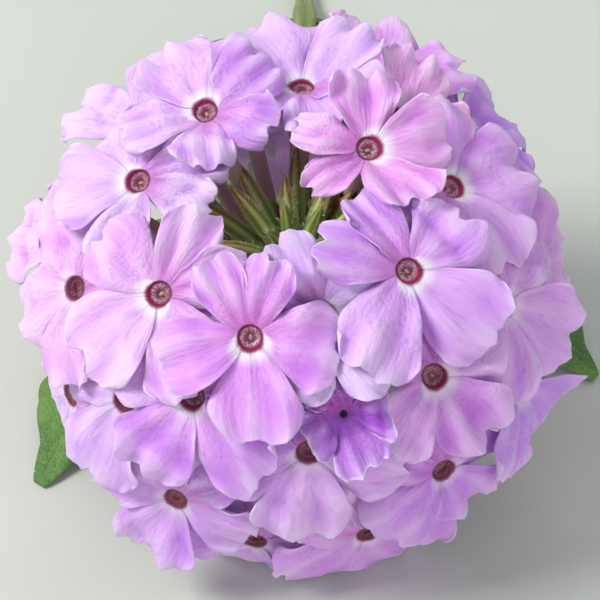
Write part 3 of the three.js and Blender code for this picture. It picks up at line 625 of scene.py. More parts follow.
def settle(home, along, layer, spread, near, within, rounds):
    """Moves of the lobes' points after settling. Two points closer than `layer` along the radius, and
    less than `spread` to the side, share a push: the more a point is free, the more of it it takes."""
    shape = home.shape
    start = home.reshape(-1, 3)
    at = start.copy()
    free = np.broadcast_to(np.minimum(1, along * 1.6).reshape(1, 1, -1, 1), shape[:-1]).ravel()
    upper, lower = close_pairs(start, near)
    for _ in range(rounds):
        up = unit(at[upper] + at[lower])
        apart = at[upper] - at[lower]
        height = (apart * up).sum(axis=1)
        distance = (apart ** 2).sum(axis=1)
        aside = np.sqrt(np.maximum(0, distance - height ** 2))
        meet = (height < layer) & (aside < spread) & (distance <= within ** 2)
        push = (layer - height[meet]) * (1 - 0.5 * (aside[meet] / spread) ** 2)
        over, under = upper[meet], lower[meet]
        share = free[over] / (free[over] + free[under] + 1e-9)
        lift = np.zeros(len(at))
        drop = np.zeros(len(at))
        np.maximum.at(lift, over, push * share)
        np.maximum.at(drop, under, push * (1 - share))
        at = at + unit(at) * ((lift - drop) * 0.6)[:, None]
        at = start + even_out((at - start).reshape(shape)).reshape(-1, 3)
        low = HEAD_HEIGHT + at @ FLOOR_UP
        at = at + np.maximum(0, CLEAR - low)[:, None] * FLOOR_UP
    print(len(upper), "pairs watched,", meet.sum(), "still pressing")
    return (at - start).reshape(shape)


def keep_off_seams(points):
    """Moves each lobe's points clear of the upright planes through its two seams. The ring stays."""
    at = points.copy()
    for ends, turn in ((LOBE_SEAM[:-1], 1), (LOBE_SEAM[1:], -1)):
        seam = (ends * DEG).reshape(1, 5, 1)
        inward = turn * (np.cos(seam) * SIDE[:, None] - np.sin(seam) * OUTWARD[:, None])
        clear = np.einsum("flrcx,flx->flrc", at - CENTRE[:, None, None, None], inward)
        short = np.maximum(0, CLEAR - clear)
        short[:, :, 0] = 0
        at = at + short[..., None] * inward[:, :, None, None]
    return at


# %% Carrying moves from few points to many
def curve_weights(knots, samples):
    """Weights that carry values at the knots to the samples, along a smooth curve through them. Between
    two knots it is the cubic with the right ends, whose slopes are those between the knots' neighbours."""
    values = np.eye(len(knots))
    slopes = np.gradient(values, knots, axis=0)
    left = np.clip(np.searchsorted(knots, samples, side="right") - 1, 0, len(knots) - 2)
    span = (knots[left + 1] - knots[left])[:, None]
    u = (samples[:, None] - knots[left][:, None]) / span
    start = (1 + 2 * u) * (1 - u) ** 2
    end = u ** 2 * (3 - 2 * u)
    return (start * values[left] + u * (1 - u) ** 2 * span * slopes[left]
            + end * values[left + 1] + u ** 2 * (u - 1) * span * slopes[left + 1])


def carry(moves, old_along, old_across, new_along, new_across):
    """Moves on one grid of a lobe, carried over to another: along it, then across it."""
    rows = curve_weights(old_along, new_along)
    columns = curve_weights(old_across, new_across)
    return np.einsum("ri,flijx,cj->flrcx", rows, moves, columns, optimize=True)


# %% Two settlings
CAGE_ALONG = np.array([0, 0.36, 0.7, 1])
CAGE_ACROSS = np.array([-1, -0.5, 0, 0.5, 1])
cage = lobe_points(CAGE_ALONG, CAGE_ACROSS, fine=False)
cage_moves = settle(cage, CAGE_ALONG, layer=BLADE + GAP + 0.05, spread=2.1, near=9, within=3.2, rounds=60)
cage_moves = keep_off_seams(cage + cage_moves) - cage

NET_ALONG = np.linspace(0, 1, 11)
NET_ACROSS = np.linspace(-1, 1, 9)
net = lobe_points(NET_ALONG, NET_ACROSS, fine=True)
net = net + carry(cage_moves, CAGE_ALONG, CAGE_ACROSS, NET_ALONG, NET_ACROSS)
net_moves = settle(net, NET_ALONG, layer=0.42, spread=1.15, near=2.8, within=1.7, rounds=36)
moved = [np.abs(moves).max().round(2) for moves in (cage_moves, net_moves)]
print("moved by up to", moved[0], "and then", moved[1], "mm")

# %% [markdown]
# ## The fine lobes
# The formula is worked out once more on a close grid, and both moves are carried over. Grid lines gather
# towards the margins and the tip, so that the rim of a petal stays crisp when its faces are smoothed. The
# middle surface is then given two skins: half the thickness up and down along its own normal, thinner
# towards the rim, which is how a real petal ends. A Solidify modifier would make the rim as thick as the
# middle.

# %% Middle surface and two skins
ALONG = 1 - (1 - np.linspace(0, 1, 25)) ** 1.25
even = np.linspace(-1, 1, 21)
ACROSS = 0.25 * even + 0.75 * np.sin(np.pi / 2 * even)
PETAL_THICKNESS = 0.24

middle = lobe_points(ALONG, ACROSS, fine=True)
middle = middle + carry(cage_moves, CAGE_ALONG, CAGE_ACROSS, ALONG, ACROSS)
middle = middle + carry(net_moves, NET_ALONG, NET_ACROSS, ALONG, ACROSS)
below_floor = np.maximum(0, CLEAR - HEAD_HEIGHT - middle @ FLOOR_UP)
middle = middle + below_floor[..., None] * FLOOR_UP
normal = unit(np.cross(np.gradient(middle, axis=2), np.gradient(middle, axis=3)))
normal[:, :, 0] = FACE[:, None, None, :]
rim_share = np.maximum(ALONG.reshape(-1, 1) ** 8, np.abs(ACROSS.reshape(1, -1)) ** 8)
half_thick = (PETAL_THICKNESS / 2 * (1 - 0.5 * rim_share))[None, None, :, :, None]
top_skin = middle + normal * half_thick
under_skin = middle - normal * half_thick
print("grid of a lobe:", middle.shape[2:4], "points")

# %% [markdown]
# ## Throat and tube
# The five lobes grow out of one ring. From it, the throat's wall goes down inside and the tube's wall
# outside, so the whole corolla is one closed skin. The tube follows a bent path from the mouth into its
# calyx. A point's place on that path is found by walking along many short pieces of the curve until their
# lengths add up to the distance asked for. A curve object with a round bevel would give a tube too, but
# not one whose first ring shares its points with the lobes.

# %% Paths from the flower axis to the florets
def bent_path(foot, knee, end):
    """A function of distance: places and directions on the curve that leaves `foot` towards `knee` and
    arrives at `end` from it. Also gives its length."""
    def place(share):
        """The three points, weighted by the squares and the double product of share and rest."""
        return (1 - share) ** 2 * foot + 2 * share * (1 - share) * knee + share ** 2 * end

    u = np.linspace(0, 1, 201)[:, None]
    walked = np.concatenate([[0], np.cumsum(np.linalg.norm(np.diff(place(u), axis=0), axis=1))])

    def at(distance):
        """Where the walked length reaches the distance, and which way the curve goes there."""
        share = np.interp(distance, walked, u[:, 0])[:, None]
        return place(share), unit((1 - share) * (knee - foot) + share * (end - knee))

    return at, walked[-1]


def rings_at(place, ahead, reference, radius, angles, forward=0.0):
    """Rings square to the way ahead, (rings, points round, 3). Each point lies at its angle from the
    reference direction, at its radius, and `forward` of the ring's plane."""
    first = unit(reference - (ahead @ reference)[:, None] * ahead)
    radius = np.broadcast_to(radius, (len(place), len(angles)))[..., None]
    forward = np.broadcast_to(forward, (len(place), len(angles)))[..., None]
    return place[:, None] + radius * spokes(angles, first, np.cross(ahead, first)) + forward * ahead[:, None]


def stalk_path(i):
    """From the flower axis, higher up for a floret near the top, to a floret's centre."""
    share = np.clip((POLAR[i] - 18) / 90, 0, 1)
    height = (AXIS_TOP - 3.5) * (1 - share) + (AXIS_BOTTOM + 3) * share
    foot = height * UP + direction(BEARING[i], 90) * AXIS_RADIUS * 0.4
    knee = CENTRE[i] - FACE[i] * 0.5 * np.linalg.norm(CENTRE[i] - foot)
    return bent_path(foot, knee, CENTRE[i])


PATHS = [stalk_path(i) for i in range(COUNT)]
lengths = [length for _, length in PATHS]
print("tubes and calyces are", round(min(lengths), 1), "to", round(max(lengths), 1), "mm long")

# %% Point numbers and faces of one corolla, the same for all
STEPS = len(ACROSS) - 1
AROUND = 5 * STEPS
ROWS = len(ALONG) - 1
THROAT = np.array([(1.26, 0.03), (1.14, 0.12), (1.02, 0.34), (0.95, 0.7), (0.85, 1.1)])  # radius, depth
TUBE = np.array([(0.5, 1.13), (1.4, 1.0), (3.2, TUBE_RADIUS)])  # distance below the mouth, radius
FOOT = np.array([(1.6, TUBE_RADIUS), (0.5, 0.7), (-0.4, 0.42)])  # distance above the calyx's length, radius
RINGS = len(THROAT) + len(TUBE) + len(FOOT)
seams = [LOBE_SEAM[k] + (LOBE_SEAM[k + 1] - LOBE_SEAM[k]) * (ACROSS[:-1] + 1) / 2 for k in range(5)]
ring_angles = np.concatenate(seams) * DEG


def corolla_faces():
    """Rows of a lobe's two grids start on the ring, whose points its neighbours share. Each lobe has its
    two skins, its two long edges and its tip."""
    block = 5 * ROWS * (STEPS + 1)
    faces = []
    for lobe in range(5):
        ring = (lobe * STEPS + np.arange(STEPS + 1)) % AROUND
        body = 2 * AROUND + lobe * ROWS * (STEPS + 1) + np.arange(ROWS * (STEPS + 1)).reshape(ROWS, -1)
        top = np.vstack([ring, body])
        under = np.vstack([ring + AROUND, body + block])
        both = np.stack([top, under])
        faces += [grid_faces(top), grid_faces(under, turned=True)]
        faces += [grid_faces(both[:, :, 0]), grid_faces(both[:, ::-1, -1]), grid_faces(both[:, -1])]
    start = 2 * AROUND + 2 * block
    rings = start + np.arange(RINGS * AROUND).reshape(-1, AROUND)
    inner = [np.arange(AROUND), *rings[:len(THROAT)]]
    outer = [np.arange(AROUND) + AROUND, *rings[len(THROAT):]]
    faces += [ring_faces(a, b) for a, b in zip(inner, inner[1:])]
    faces += [ring_faces(a, b, turned=True) for a, b in zip(outer, outer[1:])]
    pole = start + rings.size
    return faces + [fan_faces(inner[-1], pole), fan_faces(outer[-1], pole + 1, turned=True)]


COROLLA_FACES = corolla_faces()
print("faces of a corolla:", sum(len(part) for part in COROLLA_FACES))


# %% Points of one corolla
def in_face(i, radius, height, angles):
    """Points round a floret's centre: at an angle from outward, at a radius, and a height over its face."""
    return CENTRE[i] + radius * spokes(angles, OUTWARD[i], SIDE[i]) + height * FACE[i]


def throat_rings(i):
    """Radius and depth of the throat's rings. A half-open floret's throat is a shallow, narrow funnel."""
    if CUP[i] > CUPPED:
        return np.stack([EYE - (EYE - THROAT[:, 0]) * 1.9, THROAT[:, 1] * 0.3], axis=-1)
    return THROAT


def corolla_points(i):
    """The ring's two edges, the lobes' two skins, the rings of throat, tube and foot, and two poles."""
    edge = PETAL_THICKNESS / 2
    path, total = PATHS[i]
    throat = throat_rings(i)
    below = np.concatenate([total - TUBE[:, 0], CALYX_LENGTH + FOOT[:, 0]])
    width = np.concatenate([TUBE[:, 1], FOOT[:, 1]])[:, None]
    tube = rings_at(*path(below), OUTWARD[i], width, ring_angles)
    return np.concatenate([
        in_face(i, EYE, edge, ring_angles), in_face(i, EYE, -edge, ring_angles),
        top_skin[i][:, 1:].reshape(-1, 3), under_skin[i][:, 1:].reshape(-1, 3),
        *[in_face(i, radius, edge - down, ring_angles) for radius, down in throat],
        tube.reshape(-1, 3), [CENTRE[i] - FACE[i] * 1.2 * throat[-1, 1]], [tube[-1].mean(axis=0)],
    ])


print("points of a corolla:", len(corolla_points(0)))

# %% [markdown]
# ## What the petal finish reads
# The petal's own colour follows the petal, not the air round it: a white star round the throat, a crimson
# band that is broad on the outer side and a dark line on the inner one, a warm flush on the two inner lobes,
# paler margins, and a tube that turns dull mauve. Some light and shade is painted on as well: painted shade
# in the petal's hollows and in the creases of its fine wrinkles, a painted highlight on its crests, and a
# near-black painted shade inside the half-open floret's throat. So each point stores where it is: along and
# across its lobe, how far from the mouth, on which side of the throat, on which skin, how far down the tube,
# and how hollow the petal is there. Five more numbers make florets differ: how warm, how pale and how deep
# they are, how bright their star is, and whether they have opened. Paleness and depth are partly each
# floret's own tone and partly painted light: where they are worked out from a floret's place, florets
# towards the upper left and the top, where the key lamp is, come out paler, and those towards the lower
# right and the bottom deeper.

# %% Values on the points
# Painted light: the terms in the floret's place make florets paler towards the upper left and the top, where
# the key lamp is, and deeper towards the lower right and the bottom.
WARM = 0.45 - 0.012 * CENTRE[:, 0] + 0.3 * vary(np.arange(COUNT), 3, 31)
PALE_TONE_AND_PAINTED_LIGHT = 0.35 - 0.020 * CENTRE[:, 0] + 0.012 * CENTRE[:, 2] + 0.28 * vary(np.arange(COUNT), 5, 32)
DEEP_TONE_AND_PAINTED_SHADE = 0.30 + 0.004 * CENTRE[:, 0] - 0.006 * CENTRE[:, 2] + 0.28 * vary(np.arange(COUNT), 7, 33)
STAR = np.where(CUP > CUPPED, 0, 0.92 - 0.5 * np.clip((POLAR - 42) / 16, 0, 1))
# The petal finish paints shade where this is deep, in the valleys, and a highlight where it is below zero,
# on the crests.
HOLLOW = -crumples(ALONG.reshape(1, 1, -1, 1), ACROSS.reshape(1, 1, 1, -1))  # mm below the broad folds
TONES = np.array([  # how warm, pale and deep the first florets are, which show most
    (0.85, 0.25, 0.30), (0.50, 0.28, 0.45), (0.90, 0.00, 0.60), (0.55, 0.70, 0.20), (0.60, 0.80, 0.15),
    (0.60, 0.50, 0.35), (0.10, 0.40, 0.35), (0.00, 1.10, 0.00), (0.30, 0.60, 0.35), (1.00, 0.25, 0.05),
    (0.60, 0.25, 0.50), (0.50, 0.20, 0.40), (0.35, 0.25, 0.60), (0.50, 0.30, 0.45), (0.80, 0.40, 0.20),
])
WARM[:len(TONES)], PALE_TONE_AND_PAINTED_LIGHT[:len(TONES)], DEEP_TONE_AND_PAINTED_SHADE[:len(TONES)] = TONES.T
print("warm", WARM.min().round(2), "to", WARM.max().round(2))
print("pale", PALE_TONE_AND_PAINTED_LIGHT.min().round(2), "to", PALE_TONE_AND_PAINTED_LIGHT.max().round(2))


def for_points(ring, lobes, rest):
    """Values in the order of a corolla's points, the same on its two edges and on its two skins."""
    return np.concatenate([ring, ring, lobes, lobes, rest])


def corolla_values(i, points):
    """Everything a corolla's points store. `reach` is the distance from the mouth: over 0 on the lobes,
    and below 0 inside, where it counts the way down the wall and in from the mouth."""
    along = np.tile(np.repeat(ALONG[1:], STEPS + 1), 5)
    seam_t = np.tile(ACROSS[:-1], 5)
    zero = np.zeros(AROUND)
    rest = np.zeros(RINGS * AROUND + 2)
    from_centre = points - CENTRE[i]
    ahead = from_centre @ OUTWARD[i]
    radial = np.hypot(ahead, from_centre @ SIDE[i])
    reach = radial - EYE
    body = 2 * AROUND + 2 * along.size
    throat_end = body + len(THROAT) * AROUND
    throat = throat_rings(i)
    inside = throat[:, 1] + EYE - throat[:, 0]
    if CUP[i] > CUPPED:
        inside = 0.45 * inside
    reach[body:throat_end] = -np.repeat(inside, AROUND)
    reach[-2:] = -2.0
    tube_down = np.concatenate([TUBE[:, 0], PATHS[i][1] - CALYX_LENGTH - FOOT[:, 0]])
    down = np.concatenate([np.zeros(throat_end), np.repeat(tube_down, AROUND), [0, tube_down[-1]]])
    outside = len(rest) - 2 - len(THROAT) * AROUND
    runs = [AROUND, AROUND, along.size, along.size, len(THROAT) * AROUND, outside, 1, 1]
    lobe_tint = np.repeat(vary(i, np.arange(5), 34), ROWS * (STEPS + 1)) * np.minimum(1, 1.6 * along)
    tint = for_points(zero, lobe_tint, rest)
    return {
        "along": for_points(zero, along, rest),
        "across": for_points(seam_t, np.tile(ACROSS, 5 * ROWS), np.append(np.tile(seam_t, RINGS), [0, 0])),
        "reach": reach,
        "outer": ahead / np.maximum(radial, 1e-3),
        "under": np.repeat([0, 1, 0, 1, 0, 1, 0, 1], runs),
        "down": down,
        "hollow": for_points(zero, HOLLOW[i, :, 1:].ravel(), rest),
        "star": 0 * down + STAR[i],
        "opened": 0 * down + (CUP[i] <= CUPPED),
        "warm": np.clip(WARM[i] + 0.15 * tint, 0, 1),
        # Paleness and depth carry the painted light of the floret's place, besides its own tone.
        "pale": np.clip(PALE_TONE_AND_PAINTED_LIGHT[i] + 0.32 * tint, 0, 1),
        "deep": np.clip(DEEP_TONE_AND_PAINTED_SHADE[i] - 0.30 * tint, 0, 1),
    }


# %% [markdown]
# ## The petal finish
# The colours and masks are worked out in a group, because pink, lilac and violet florets differ only in
# the four colours and the strength of the pale rim that go in. Petals are thin and full of air, so light
# enters them and comes out a millimetre further on. That is what keeps their shadows soft and coloured,
# and it is set as subsurface scattering on the shader. A trace of sheen stands for the velvet of their
# surface cells. The group could be copied into each material instead, but then three trees would have to
# be kept alike.

# %% Star, band and inside of the throat
def throat_layers(f, reach, outer, wave):
    """A white star on the outer side, then a crimson band with a frayed edge, a dark rim and the inside. In
    a half-open floret the inside is a near-black violet, painted shade in its narrow throat.
    """
    star, opened = f.stored("star"), f.stored("opened")
    bright = f.ease(star, 0.42, 0.85)
    width = f.ease(outer, -0.45, 0.7, 0.02, 1.0)
    white = f.ease(f.sum_up("DIVIDE", reach, width), 0.35, 1.9, 0.9, 0.0)
    rays = f.plus(f.times(wave, 0.07), f.times(f.cloud(1500.0), 0.3))
    band = f.plus(f.ease(outer, -0.4, 0.95, -0.25, 0.12), rays)
    crimson = f.ease(f.sum_up("SUBTRACT", reach, band), -0.25, 0.2, 1.0, 0.0)
    rim = f.ease(f.sum_up("ABSOLUTE", f.plus(reach, 0.22)), 0.04, 0.26, 0.8, 0.0)
    rim = f.times(rim, f.ease(outer, -0.2, 0.9, 1.0, 0.45), f.ease(opened, 0.0, 1.0, 0.2, 1.0))
    lining = f.blend(bright, (154, 82, 104), (210, 126, 164))
    return [
        (f.times(white, f.ease(outer, -0.5, 0.1), star), (255, 246, 255)),
        (f.times(crimson, opened), f.blend(bright, (134, 62, 88), (146, 26, 74))),
        (rim, (92, 20, 66)),
        # Painted shade: a half-open floret's throat is coloured near-black violet.
        (f.ease(reach, -0.75, -0.42, 1.0, 0.0), f.blend(opened, (50, 10, 60), lining)),
        (f.times(f.ease(reach, -1.7, -1.1, 1.0, 0.0), opened), (212, 138, 166)),
    ]


# %% Masks and colours of a petal
def petal_group():
    """Colour: the cool tone, with the others laid over it by masks. Veins are a cosine across the lobe that
    wanders with noise, the midrib is a narrow band, wrinkles are noise drawn out along the lobe, and the rim
    is what lies near an edge. The deep colour in the creases of the wrinkles and in the petal's hollows is
    painted shade, and the pale colour on its crests is a painted highlight. Height: the pores, less the
    lines and the wrinkles."""
    inputs = [(label, COLOUR) for label in ("Cool", "Warm", "Deep", "Pale")] + [("Edge", NUMBER)]
    f, given, made = new_group("petal colouring", inputs, [("Colour", COLOUR), ("Height", NUMBER)])
    cool, warm, deep, pale, edge = (given[label] for label, _ in inputs)
    along, across, reach, outer = (f.stored(label) for label in ("along", "across", "reach", "outer"))
    hollow = f.stored("hollow")
    from_midrib = f.sum_up("ABSOLUTE", across)
    patches = f.ease(f.cloud(130.0, 3.0), 0.3, 0.8)
    wander = f.times(f.sum_up("SUBTRACT", f.cloud(420.0), 0.5), 1.2)
    wave = f.sum_up("COSINE", f.times(f.plus(f.times(across, 6.5), wander), 2 * np.pi))
    vein = f.times(f.ease(wave, 0.55, 1.0), f.ease(along, 0.02, 0.3), f.ease(along, 0.55, 0.98, 1.0, 0.0))
    midrib = f.times(f.ease(from_midrib, 0.0, 0.07, 1.0, 0.0), f.ease(along, 0.0, 0.8, 1.0, 0.0))
    lines = f.sum_up("MAXIMUM", f.times(vein, 0.07), f.times(midrib, 0.2))
    stretched = [f.times(across, 8.0), f.times(along, 3.5), f.times(f.stored("warm"), 90.0)]
    # The wrinkles also darken the colour in their creases, as painted shade.
    wrinkle = f.noise(f.node("CombineXYZ", dict(enumerate(stretched))).outputs[0], 1.0, 3.0)
    rim = f.ease(f.sum_up("MAXIMUM", from_midrib, f.sum_up("POWER", along, 1.5)), 0.86, 1.0)
    inner = f.ease(outer, -0.9, 0.35, 1.0, 0.0)
    base = f.layers(
        cool,
        (f.stored("warm"), warm),
        (f.times(f.stored("pale"), 0.75), pale),
        (f.times(patches, f.stored("deep")), deep),
        (lines, deep),
        # Painted shade: the deep colour where the wrinkles' bump is lowest, in their creases.
        (f.ease(wrinkle, 0.5, 0.75, 0.0, 0.34), deep),
        # Painted shade of deep colour in the petal's hollows, and a painted highlight of pale colour on its
        # crests.
        (f.ease(hollow, 0.0, 0.5, 0.0, 0.4), deep),
        (f.ease(hollow, -0.4, 0.0, 0.35, 0.0), pale),
        (f.times(rim, f.ease(along, 0.15, 0.5), edge), pale),
        (f.ease(along, 0.6, 1.0, 0.0, 0.3), pale),
        (f.times(f.stored("under"), 0.45), pale),
        (f.times(inner, f.ease(reach, 0.2, 3.6, 0.6, 0.0)), (206, 104, 196)),
        *throat_layers(f, reach, outer, wave),
        (f.ease(f.stored("down"), 0.6, 4.0, 0.0, 0.85), (232, 200, 184)),
    )
    pores = f.times(f.cloud(9000.0, 1.0), 0.16)
    height = f.plus(f.plus(f.times(lines, -1.0), pores), f.times(wrinkle, -2.4))
    f.feed(made["Colour"], base)
    f.feed(made["Height"], height)
    return f.tree


PETAL = petal_group()
PETAL_TONES = {  # cool, warm, deep and pale colour, and how strongly the pale rim shows
    "petal_pink": ((218, 160, 236), (238, 164, 222), (186, 96, 218), (244, 214, 250), 0.15),
    "petal_lilac": ((208, 156, 240), (232, 162, 230), (176, 96, 222), (238, 212, 252), 0.15),
    "petal_violet": ((158, 68, 202), (170, 70, 198), (120, 30, 164), (232, 202, 248), 1.0),
}


# %% Three petal materials
def petal_finish(name, tones):
    """A petal material: the group fed with four colours and the strength of the rim."""
    f = new_finish(
        name, roughness=0.6, Subsurface_Weight=0.36, Subsurface_Scale=0.0009, Sheen_Weight=0.12,
        Subsurface_Radius=(1.0, 0.75, 0.95), Specular_IOR_Level=0.32, Sheen_Roughness=0.45,
    )
    made = f.node("Group", {}, node_tree=PETAL)
    for socket, value in zip(made.inputs, tones):
        f.feed(socket, value)
    return f.paint(made.outputs["Colour"], made.outputs["Height"], distance=0.14, strength=0.75)


PETAL_FINISH = {slot: petal_finish(slot.replace("_", " "), tones) for slot, tones in PETAL_TONES.items()}
print("petal finishes:", list(PETAL_FINISH))

# %% The florets' corollas
for i in range(COUNT):
    slot_name = "petal_pink" if i % 3 == 0 else "petal_lilac"
    if CUP[i] > CUPPED:
        slot_name = "petal_violet"
    points = corolla_points(i)
    make_piece(f"floret_{i + 1:02d}", head_to_frame(points), COROLLA_FACES, PETAL_FINISH[slot_name],
               [f"corolla_{i + 1:02d}"], corolla_values(i, points))
print("made", COUNT, "corollas")

# %% [markdown]
# ## Calyces
# Each tube stands in a calyx: a green ribbed sleeve with five bristle-like teeth, flushed red-brown where
# the sun reaches it. It is a grid of points round and along the path: the radius swells and carries five
# ribs, and near the rim each point is pushed forward by its tooth's height, which is highest on a rib. The
# grid turns over the rim and runs back down inside, so the sleeve is hollow where the tube comes out. Teeth
# could be modelled one by one, but as one term in the radius and the height they grow out of the sleeve.

# %% Calyces round the tubes
CALYX_UP = np.linspace(0, 1, 13)  # rings of the outer wall
calyx_angles = circle(30)
rib = np.cos(5 * (calyx_angles - 36 * DEG))
tooth_shape = (1 - np.abs((np.degrees(calyx_angles) % 72) - 36) / 36) ** 1.25


def calyx_rings(i):
    """Outer wall: its radius swells from the foot to four fifths of the way, with ribs. Inner wall: from
    the rim down again, less the sleeve's thickness."""
    outer = CALYX_RADIUS * np.interp(CALYX_UP, [0, 0.12, 0.45, 0.8, 1], [0.4, 0.66, 0.92, 0.98, 0.94])
    outer = outer[:, None] * (1 + np.outer(0.03 + 0.05 * CALYX_UP, rib))
    forward = TOOTH * np.outer(np.clip((CALYX_UP - 0.72) / 0.28, 0, 1) ** 2, tooth_shape)
    inner = outer[[-1, -2, -3]] - np.array([[0.10], [0.16], [0.2]])
    inner_forward = forward[-1] * np.array([[0.96], [0.45], [0.0]])
    distance = np.append(CALYX_UP, [0.985, 0.93, 0.86]) * CALYX_LENGTH
    return rings_at(*PATHS[i][0](distance), OUTWARD[i], np.concatenate([outer, inner]), calyx_angles,
                    np.concatenate([forward, inner_forward]))


calyces = np.stack([calyx_rings(i) for i in range(COUNT)])
calyx_up = np.append(CALYX_UP, [1.0, 0.95, 0.9])[:, None] + 0 * calyx_angles
calyx_up = calyx_up + 0.16 * tooth_shape * (calyx_up > 0.9)
print("calyx grid:", calyces.shape)

# %% [markdown]
# ## Buds
# In the middle of the head the calyces are still shut: slim spindles whose five teeth close to a point.
# They stand in four rings on top of the axis, the youngest upright in the centre. A bud's radius is a
# profile along its path times one plus a rib wave that grows towards the teeth. A cone would be the plain
# way, but it has neither the swelling nor the drawn-out tip.

# %% Buds on top of the axis
BUD_RINGS = [  # how many, polar angle, length, radius, height of the foot
    (12, 66, 15.0, 1.0, AXIS_TOP - 2.6),
    (9, 46, 12.5, 0.95, AXIS_TOP - 1.4),
    (6, 26, 8.5, 0.85, AXIS_TOP - 0.8),
    (3, 9, 5.6, 0.75, AXIS_TOP - 0.4),
]
bud_angles = circle(20)
bud_up = np.linspace(0, 1, 19)
bud_rib = np.cos(5 * bud_angles)
bud_profile = np.interp(bud_up, [0, 0.1, 0.35, 0.62, 0.8, 0.92, 1], [0.42, 0.66, 0.98, 1.02, 0.8, 0.4, 0.05])
bud_wave = 1 + np.outer(0.02 + 0.13 * np.clip((bud_up - 0.3) / 0.6, 0, 1), bud_rib)


def bud_rings(ring, i):
    """One bud on a path that first leaves the axis steeply and then leans out: profile times rib wave."""
    count, polar, length, radius, height = BUD_RINGS[ring]
    bearing = i * 360 / count + ring * 23 + 6 * vary(ring, i, 1)
    lean = polar + 5 * vary(ring, i, 2)
    long = length * (1 + 0.1 * vary(ring, i, 3))
    foot = height * UP
    knee = foot + direction(bearing, lean * 0.8) * long * 0.5
    path, total = bent_path(foot, knee, foot + direction(bearing, lean) * long)
    wide = (radius * bud_profile)[:, None] * bud_wave
    return rings_at(*path(bud_up * total), direction(bearing + 90, 90), wide, bud_angles)


bud_list = [(ring, i) for ring, row in enumerate(BUD_RINGS) for i in range(row[0])]
buds = np.stack([bud_rings(ring, i) for ring, i in bud_list])
bud_young = np.array([ring / 3 for ring, _ in bud_list]).reshape(-1, 1, 1)
print("bud grid:", buds.shape)

# %% [markdown]
# ## Flower axis
# Calyces and buds sit on a short green axis in the middle of the head. Only gaps between them show it, so
# a profile round a straight line is enough. Four shallow crests on it carry on the stem's corners, which a
# plain cylinder would lack.

# %% Flower axis
axis_up = np.array([AXIS_BOTTOM, -9, -6, -2, 2, 6, 7.6, AXIS_TOP])
axis_width = AXIS_RADIUS * np.array([0.72, 0.8, 0.9, 1.0, 0.95, 0.8, 0.7, 0.35])
axis_angles = circle(16)
axis_radius = (axis_width[:, None] * (1 + 0.06 * np.cos(4 * axis_angles)))[..., None]
axis = (axis_radius * spokes(axis_angles, RIGHT, BACK) + axis_up[:, None, None] * UP)[None]
print("axis rings:", len(axis_up))

# %% [markdown]
# ## The green finish of calyces and buds
# The ribs are a light yellow-green, the grooves between them darker, and the teeth red-brown. The youngest
# buds are a deep green. Each point stores how far up it is, how much it is rib or groove, and how young.
# The colours could be painted on by hand, but masks made from these values follow every rib.

# %% Calyx finish
def calyx_finish():
    """Green grooves and paler ribs, a flushed top, a darker foot, and deep green on young buds."""
    f = new_finish("calyx green", roughness=0.55, Subsurface_Weight=0.2, Subsurface_Scale=0.0006,
                   Specular_IOR_Level=0.35)
    up, ribs, young = f.stored("up"), f.stored("ribs"), f.stored("young")
    patches, grain = blotches(f, 300.0, 0.5)
    flushed = f.times(f.ease(up, 0.5, 0.95), f.ease(ribs, 0.0, 1.0, 1.0, 0.5))
    base = f.layers(
        (112, 150, 54),
        (ribs, (222, 238, 150)),
        (f.times(patches, 0.3), (150, 178, 74)),
        (f.times(flushed, 0.9), (150, 70, 54)),
        (f.ease(up, 0.0, 0.35, 0.5, 0.0), (70, 104, 36)),
        (f.ease(young, 0.3, 0.95, 0.0, 0.8), (76, 142, 42)),
    )
    return f.paint(base, grain, distance=0.12, strength=0.5)


CALYX_FINISH = calyx_finish()


def tube_piece(name, batch, values, finish, stands_for=(), place=head_to_frame):
    """A piece of closed tubes. Each value is spread over the tubes, rings and points round."""
    grid = batch.shape[:3]
    spread = {}
    for label, numbers in values.items():
        spread[label] = tube_points(np.broadcast_to(numbers, grid)[..., None])
    make_piece(name, place(tube_points(batch)), tube_faces(*grid), finish, stands_for, spread)


calyx_young = 0.1 + 0.2 * vary(np.arange(COUNT), 1, 41).reshape(-1, 1, 1)
tube_piece("calyces", calyces, {"up": calyx_up, "ribs": (rib + 1) / 2, "young": calyx_young},
           CALYX_FINISH, ["crown"])
tube_piece("buds", buds, {"up": bud_up[:, None], "ribs": (bud_rib + 1) / 2, "young": bud_young},
           CALYX_FINISH)
tube_piece("flower_axis", axis, {"up": 0.1, "ribs": 0.6, "young": 0.3}, CALYX_FINISH)
print("calyces:", len(calyces), "buds:", len(buds))

# %% [markdown]
# ## Hairs
# Verbena is downy. Fine white hairs stand on the calyces, the stem and the leaves, and a ring of them
# nearly closes each throat. Blender could grow them as curves, but these belong to the mesh, so a hair is
# the simplest closed form that has thickness: three points at its root and one at its tip. Roots are
# picked from the points of a grown surface by a seeded draw, and a hair leaves along the surface's normal,
# bent a little towards the tip of what it grows on.

# %% Hairs as thin three-sided spikes
DRAW = np.random.default_rng(7)
LOWEST_HAIR = 0.02  # mm over what the shoot lies on
HAIRLESS_FOOT = 0.05  # share of a tube's rings that carry none


def hair_points(roots, ways, length, radius):
    """Three points round each root, square to the hair's way, and its tip."""
    ways = unit(ways)
    first = unit(np.cross(ways, np.where(np.abs(ways[:, 2:]) < 0.9, UP, RIGHT)))
    ring = roots[:, None] + radius * spokes(circle(3), first, np.cross(ways, first))
    tips = roots + ways * np.broadcast_to(length, len(roots))[:, None]
    return np.concatenate([ring, tips[:, None]], axis=1)


